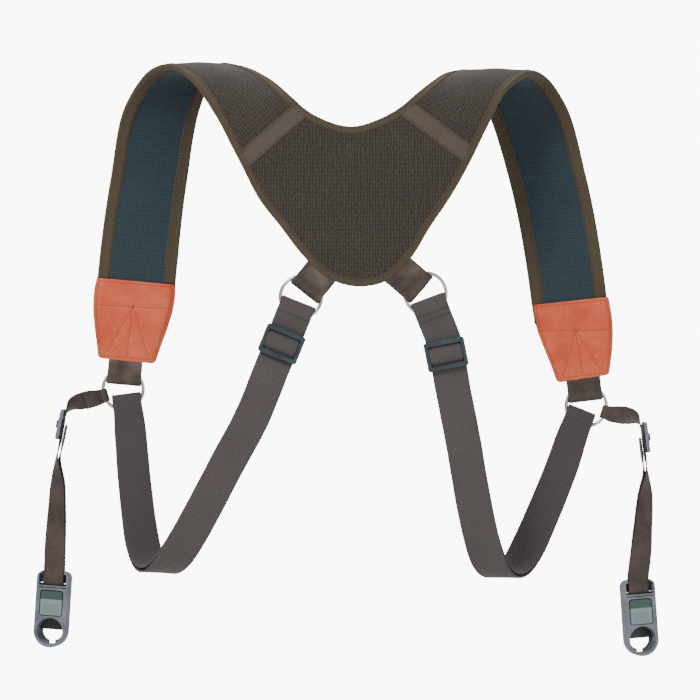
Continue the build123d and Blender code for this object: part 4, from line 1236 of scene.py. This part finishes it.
# =====================================================================================
# Tethers
# =====================================================================================
def tether_eye(side):
    """Middle of the wire where the tether goes round it, and the direction away from the ring."""
    angle = math.radians(TETHER_EYE_DROP)
    outward = -1.0 if side == "left" else 1.0
    away = np.array((outward * math.cos(angle), 0, -math.sin(angle)))
    ring = np.array((FRONT_RINGS[side][0], FRONT_Y, FRONT_RINGS[side][1]))
    return ring + away * (RING_RADIUS - WIRE_SAGITTA), away


def connector_axes(side):
    """A connector's own directions: across, up and out of its front."""
    tilt = math.radians(CONNECTOR_TILT[side])
    yaw = math.radians(CONNECTOR_YAW[side])
    up = np.array((math.sin(tilt), 0, math.cos(tilt)))
    across = unit(np.cross(up, np.array((math.sin(yaw), -math.cos(yaw), 0))))
    return across, up, np.cross(across, up)


def tether_down_rows(side):
    """The lower tether's middle line: point, direction across and half the gap between its plies."""
    hinge = np.array((TETHER_HINGES[side][0], FRONT_Y, TETHER_HINGES[side][1]))
    down = unit(np.array((TETHER_DOWN[side][0], 0, TETHER_DOWN[side][1])))
    rows = [
        (hinge + down * 4, TETHER_ACROSS[side], SLIDER_HALF_GAP * 0.55),
        (hinge + down * SMALL_SLIDER_PLACE, TETHER_ACROSS[side], SLIDER_HALF_GAP * 0.8),
    ]
    for distance, across, gap in TETHER_TURN[side]:
        rows.append((hinge + down * distance, across, gap))
    for centre, across, gap in TETHER_TWISTS[side]:
        rows.append((np.array(centre, float), across, gap))
    return rows


def tether_route(side):
    """The whole tether: sewn ply, ring, bend, down, round the connector's pin and up to the slider."""
    eye, away = tether_eye(side)
    first_across = unit(np.array((away[2], 0, -away[0])))
    if first_across[2] < 0:
        first_across = -first_across
    radius = TETHER_EYE_RADIUS
    facing = np.sign(np.cross(away, first_across)[1])
    places = [(-1.2, -2.0), (-2.4, 0), (-1.2, 2.0), (0.6, radius), (3, 1.8), (5.5, 0.6)]
    front = np.array((0, facing, 0))
    points = [eye + away * along + front * lift for along, lift in places]
    across = [first_across] * len(points)
    widths = [9.5, 9.5, 9.5, 10, 10.6, 11.6]
    for centre, direction, width in TETHER_TOPS[side]:
        points.append(np.array((centre[0], FRONT_Y, centre[1])))
        across.append(np.array(direction, float))
        widths.append(width)
    top = Route(points, across, widths, 1.2)
    sewn = (top.distance > 5.5) & (top.distance < 22)
    under = top.offset(0, -TETHER - 0.1)[sewn][::-1][::3]
    points = list(under) + [eye + away * 3 - front * 1.9, eye + away * 0.6 - front * radius] + points
    across = list(top.across[sewn][::-1][::3]) + [first_across] * 2 + across
    widths = list(top.width[sewn][::-1][::3]) + [10.6, 10] + widths
    rows = tether_down_rows(side)
    pin = np.array(CONNECTOR_PINS[side])
    pin_across, pin_up, _ = connector_axes(side)
    centres = np.array([centre for centre, _, _ in rows] + [pin + pin_up * 6])
    directions = [np.array(direction, float) for _, direction, _ in rows] + [pin_across]
    gaps = [gap for _, _, gap in rows] + [EYE_HALF_GAP]
    along = unit(np.gradient(centres, axis=0))
    normals = unit(np.cross(along, unit(directions)))
    gaps = np.array(gaps)[:, None]
    points += list(centres + normals * gaps)
    across += directions
    widths += [TETHER_WIDTH] * len(centres)
    back = unit(np.cross(-pin_up, pin_across))
    for angle in np.linspace(0, 180, 7):
        turn = math.radians(angle)
        points.append(pin + back * EYE_HALF_GAP * math.cos(turn) - pin_up * EYE_HALF_GAP * math.sin(turn))
        across.append(pin_across)
        widths.append(TETHER_WIDTH)
    upward = slice(None, 0, -1)
    points += list((centres - normals * gaps)[upward])
    across += directions[upward]
    widths += [TETHER_WIDTH] * (len(centres) - 1)
    return Route(points, across, widths, 1.2)


def build_tether(side):
    """The tether, shaped through its bend at the hinge, and its stitching."""
    route = tether_route(side)
    tether = strap_mesh(side + "_tether_webbing", route, TETHER, tether_cloth, columns=12)
    crumple(tether, *TETHER_CRUMPLE)
    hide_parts(side + "_tether_top", side + "_tether_strap", side + "_tether_return")
    down = unit(np.array((TETHER_DOWN[side][0], 0, TETHER_DOWN[side][1])))
    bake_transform(tether)
    eye, away = tether_eye(side)
    rows = []
    for distance, lift in ((3.6, 1.6), (11.5, 0.1)):
        spot = eye + away * distance + np.array(OUT) * lift
        at = int(np.argmin(np.linalg.norm(route.points - spot, axis=1)))
        face = np.sign(route.normal[at] @ np.array(OUT)) or 1.0
        base = route.points[at] + route.normal[at] * face * (TETHER / 2 + 0.15)
        line = base + route.across[at] * np.linspace(-0.42, 0.42, 12)[:, None] * route.width[at]
        rows.append((line, np.tile(route.normal[at] * face, (12, 1))))
    label = side + "_tether_stitches"
    stitch_piece(label, rows, tether_thread, side + "_tether_top", TETHER_STITCH)


# =====================================================================================
# Build, finish the hard parts, light and view
# =====================================================================================
for side in SIDES:
    build_shoulder_pad(side)
    build_tape(side)
    build_leather(side)
    build_loop(side, "yoke_loop", YOKE_RINGS[side], MIDDLE_Y, YOKE_LOOP_DIRECTION[side])
    build_loop(side, "front_loop", FRONT_RINGS[side], FRONT_Y, FRONT_LOOP_DIRECTION[side])
    build_elastic(side)
    build_slider_bight(side)
    build_tether(side)
build_yoke_pad()
outer_normals = line_normals(OUTER_LINE, FIRST_SEAM, SECOND_SEAM_OUTER)
neck_normals = line_normals(NECK_LINE, FIRST_SEAM, SECOND_SEAM_NECK)
build_binding("outer_edge_binding", OUTER_LINE, outer_normals, -1, ["yoke_binding"])
shoulder_bindings = [side + "_shoulder_binding" for side in SIDES]
build_binding("neck_edge_binding", NECK_LINE, neck_normals, 1, shoulder_bindings)

CAD_FINISHES = {
    "yoke_ring": steel,
    "front_ring": steel,
    "slider": slider_plastic,
    "small_slider": small_slider_plastic,
    "small_slider_bight": tether_cloth_plain,
    "connector_front_shell": connector_plastic,
    "connector_back_shell": connector_plastic,
    "connector_pin": steel,
    "connector_latch": latch_plastic,
    "connector_button_spring": steel,
    "connector_latch_springs": steel,
}
for side in SIDES:
    for node, material in CAD_FINISHES.items():
        part = bpy.data.objects[side + "_" + node]
        part.data.materials.clear()
        part.data.materials.append(material)
    button = bpy.data.objects[side + "_connector_button"]
    button.data.materials.clear()
    button.data.materials.append(two_tone_button(side + "_button_plastic", button, side))

# ---- stage, light and camera ----
camera_data = bpy.data.cameras.new("front_camera")
camera_data.sensor_width = SENSOR
camera_data.lens = SENSOR * -CAMERA[1] / PICTURE_SPAN
camera_data.clip_end = 20
camera = bpy.data.objects.new("front_camera", camera_data)
camera.location = [value * MM for value in CAMERA]
camera.rotation_euler = (math.pi / 2, 0, 0)
bpy.context.scene.collection.objects.link(camera)
bpy.context.scene.camera = camera


def area_light(name, place, aim, size, power):
    """A square studio softbox."""
    data = bpy.data.lights.new(name, "AREA")
    data.size = size
    data.energy = power
    light = bpy.data.objects.new(name, data)
    light.location = place
    light.rotation_euler = (Vector(aim) - Vector(place)).to_track_quat("-Z", "Y").to_euler()
    bpy.context.scene.collection.objects.link(light)


def round_floor():
    """A plain pale floor below the hanging harness."""
    angles = np.linspace(0, 2 * math.pi, 96, endpoint=False)
    rim = [(FLOOR_RADIUS * math.cos(a), FLOOR_RADIUS * math.sin(a), FLOOR) for a in angles]
    shader = Shader("floor_paper")
    paper = shader.done(rgb("F4F4F4"), 0.9, specular=0.1)
    return mesh_piece("studio_floor", rim, [tuple(range(len(rim)))], None, paper)


def white_surround():
    """The bright studio background, which lights nothing."""
    rings, parts = 24, 48
    points = []
    for ring in range(rings + 1):
        tilt = math.pi * ring / rings
        for part in range(parts):
            turn = 2 * math.pi * part / parts
            points.append((math.sin(tilt) * math.cos(turn), math.sin(tilt) * math.sin(turn), math.cos(tilt)))
    faces = []
    for ring in range(rings):
        for part in range(parts):
            upper = ring * parts
            lower = upper + parts
            after = (part + 1) % parts
            faces.append((upper + part, lower + part, lower + after, upper + after))
    shader = Shader("surround_white")
    shader.shader.inputs["Emission Color"].default_value = (1, 1, 1, 1)
    shader.shader.inputs["Emission Strength"].default_value = SURROUND_GLOW
    white = shader.done(rgb("FFFFFF"), 1.0, specular=0.0)
    dome = mesh_piece("studio_surround", np.array(points) * SURROUND_RADIUS, faces, None, white)
    dome.visible_diffuse = False
    dome.visible_glossy = False
    dome.visible_transmission = False
    dome.visible_shadow = False
    return dome


round_floor()
white_surround()
for name, (place, aim, size, power) in LIGHTS.items():
    area_light(name, place, aim, size, power)
world = bpy.data.worlds.new("pale_world")
world.use_nodes = True
world.node_tree.nodes["Background"].inputs["Color"].default_value = (1, 1, 1, 1)
world.node_tree.nodes["Background"].inputs["Strength"].default_value = WORLD_STRENGTH
bpy.context.scene.world = world
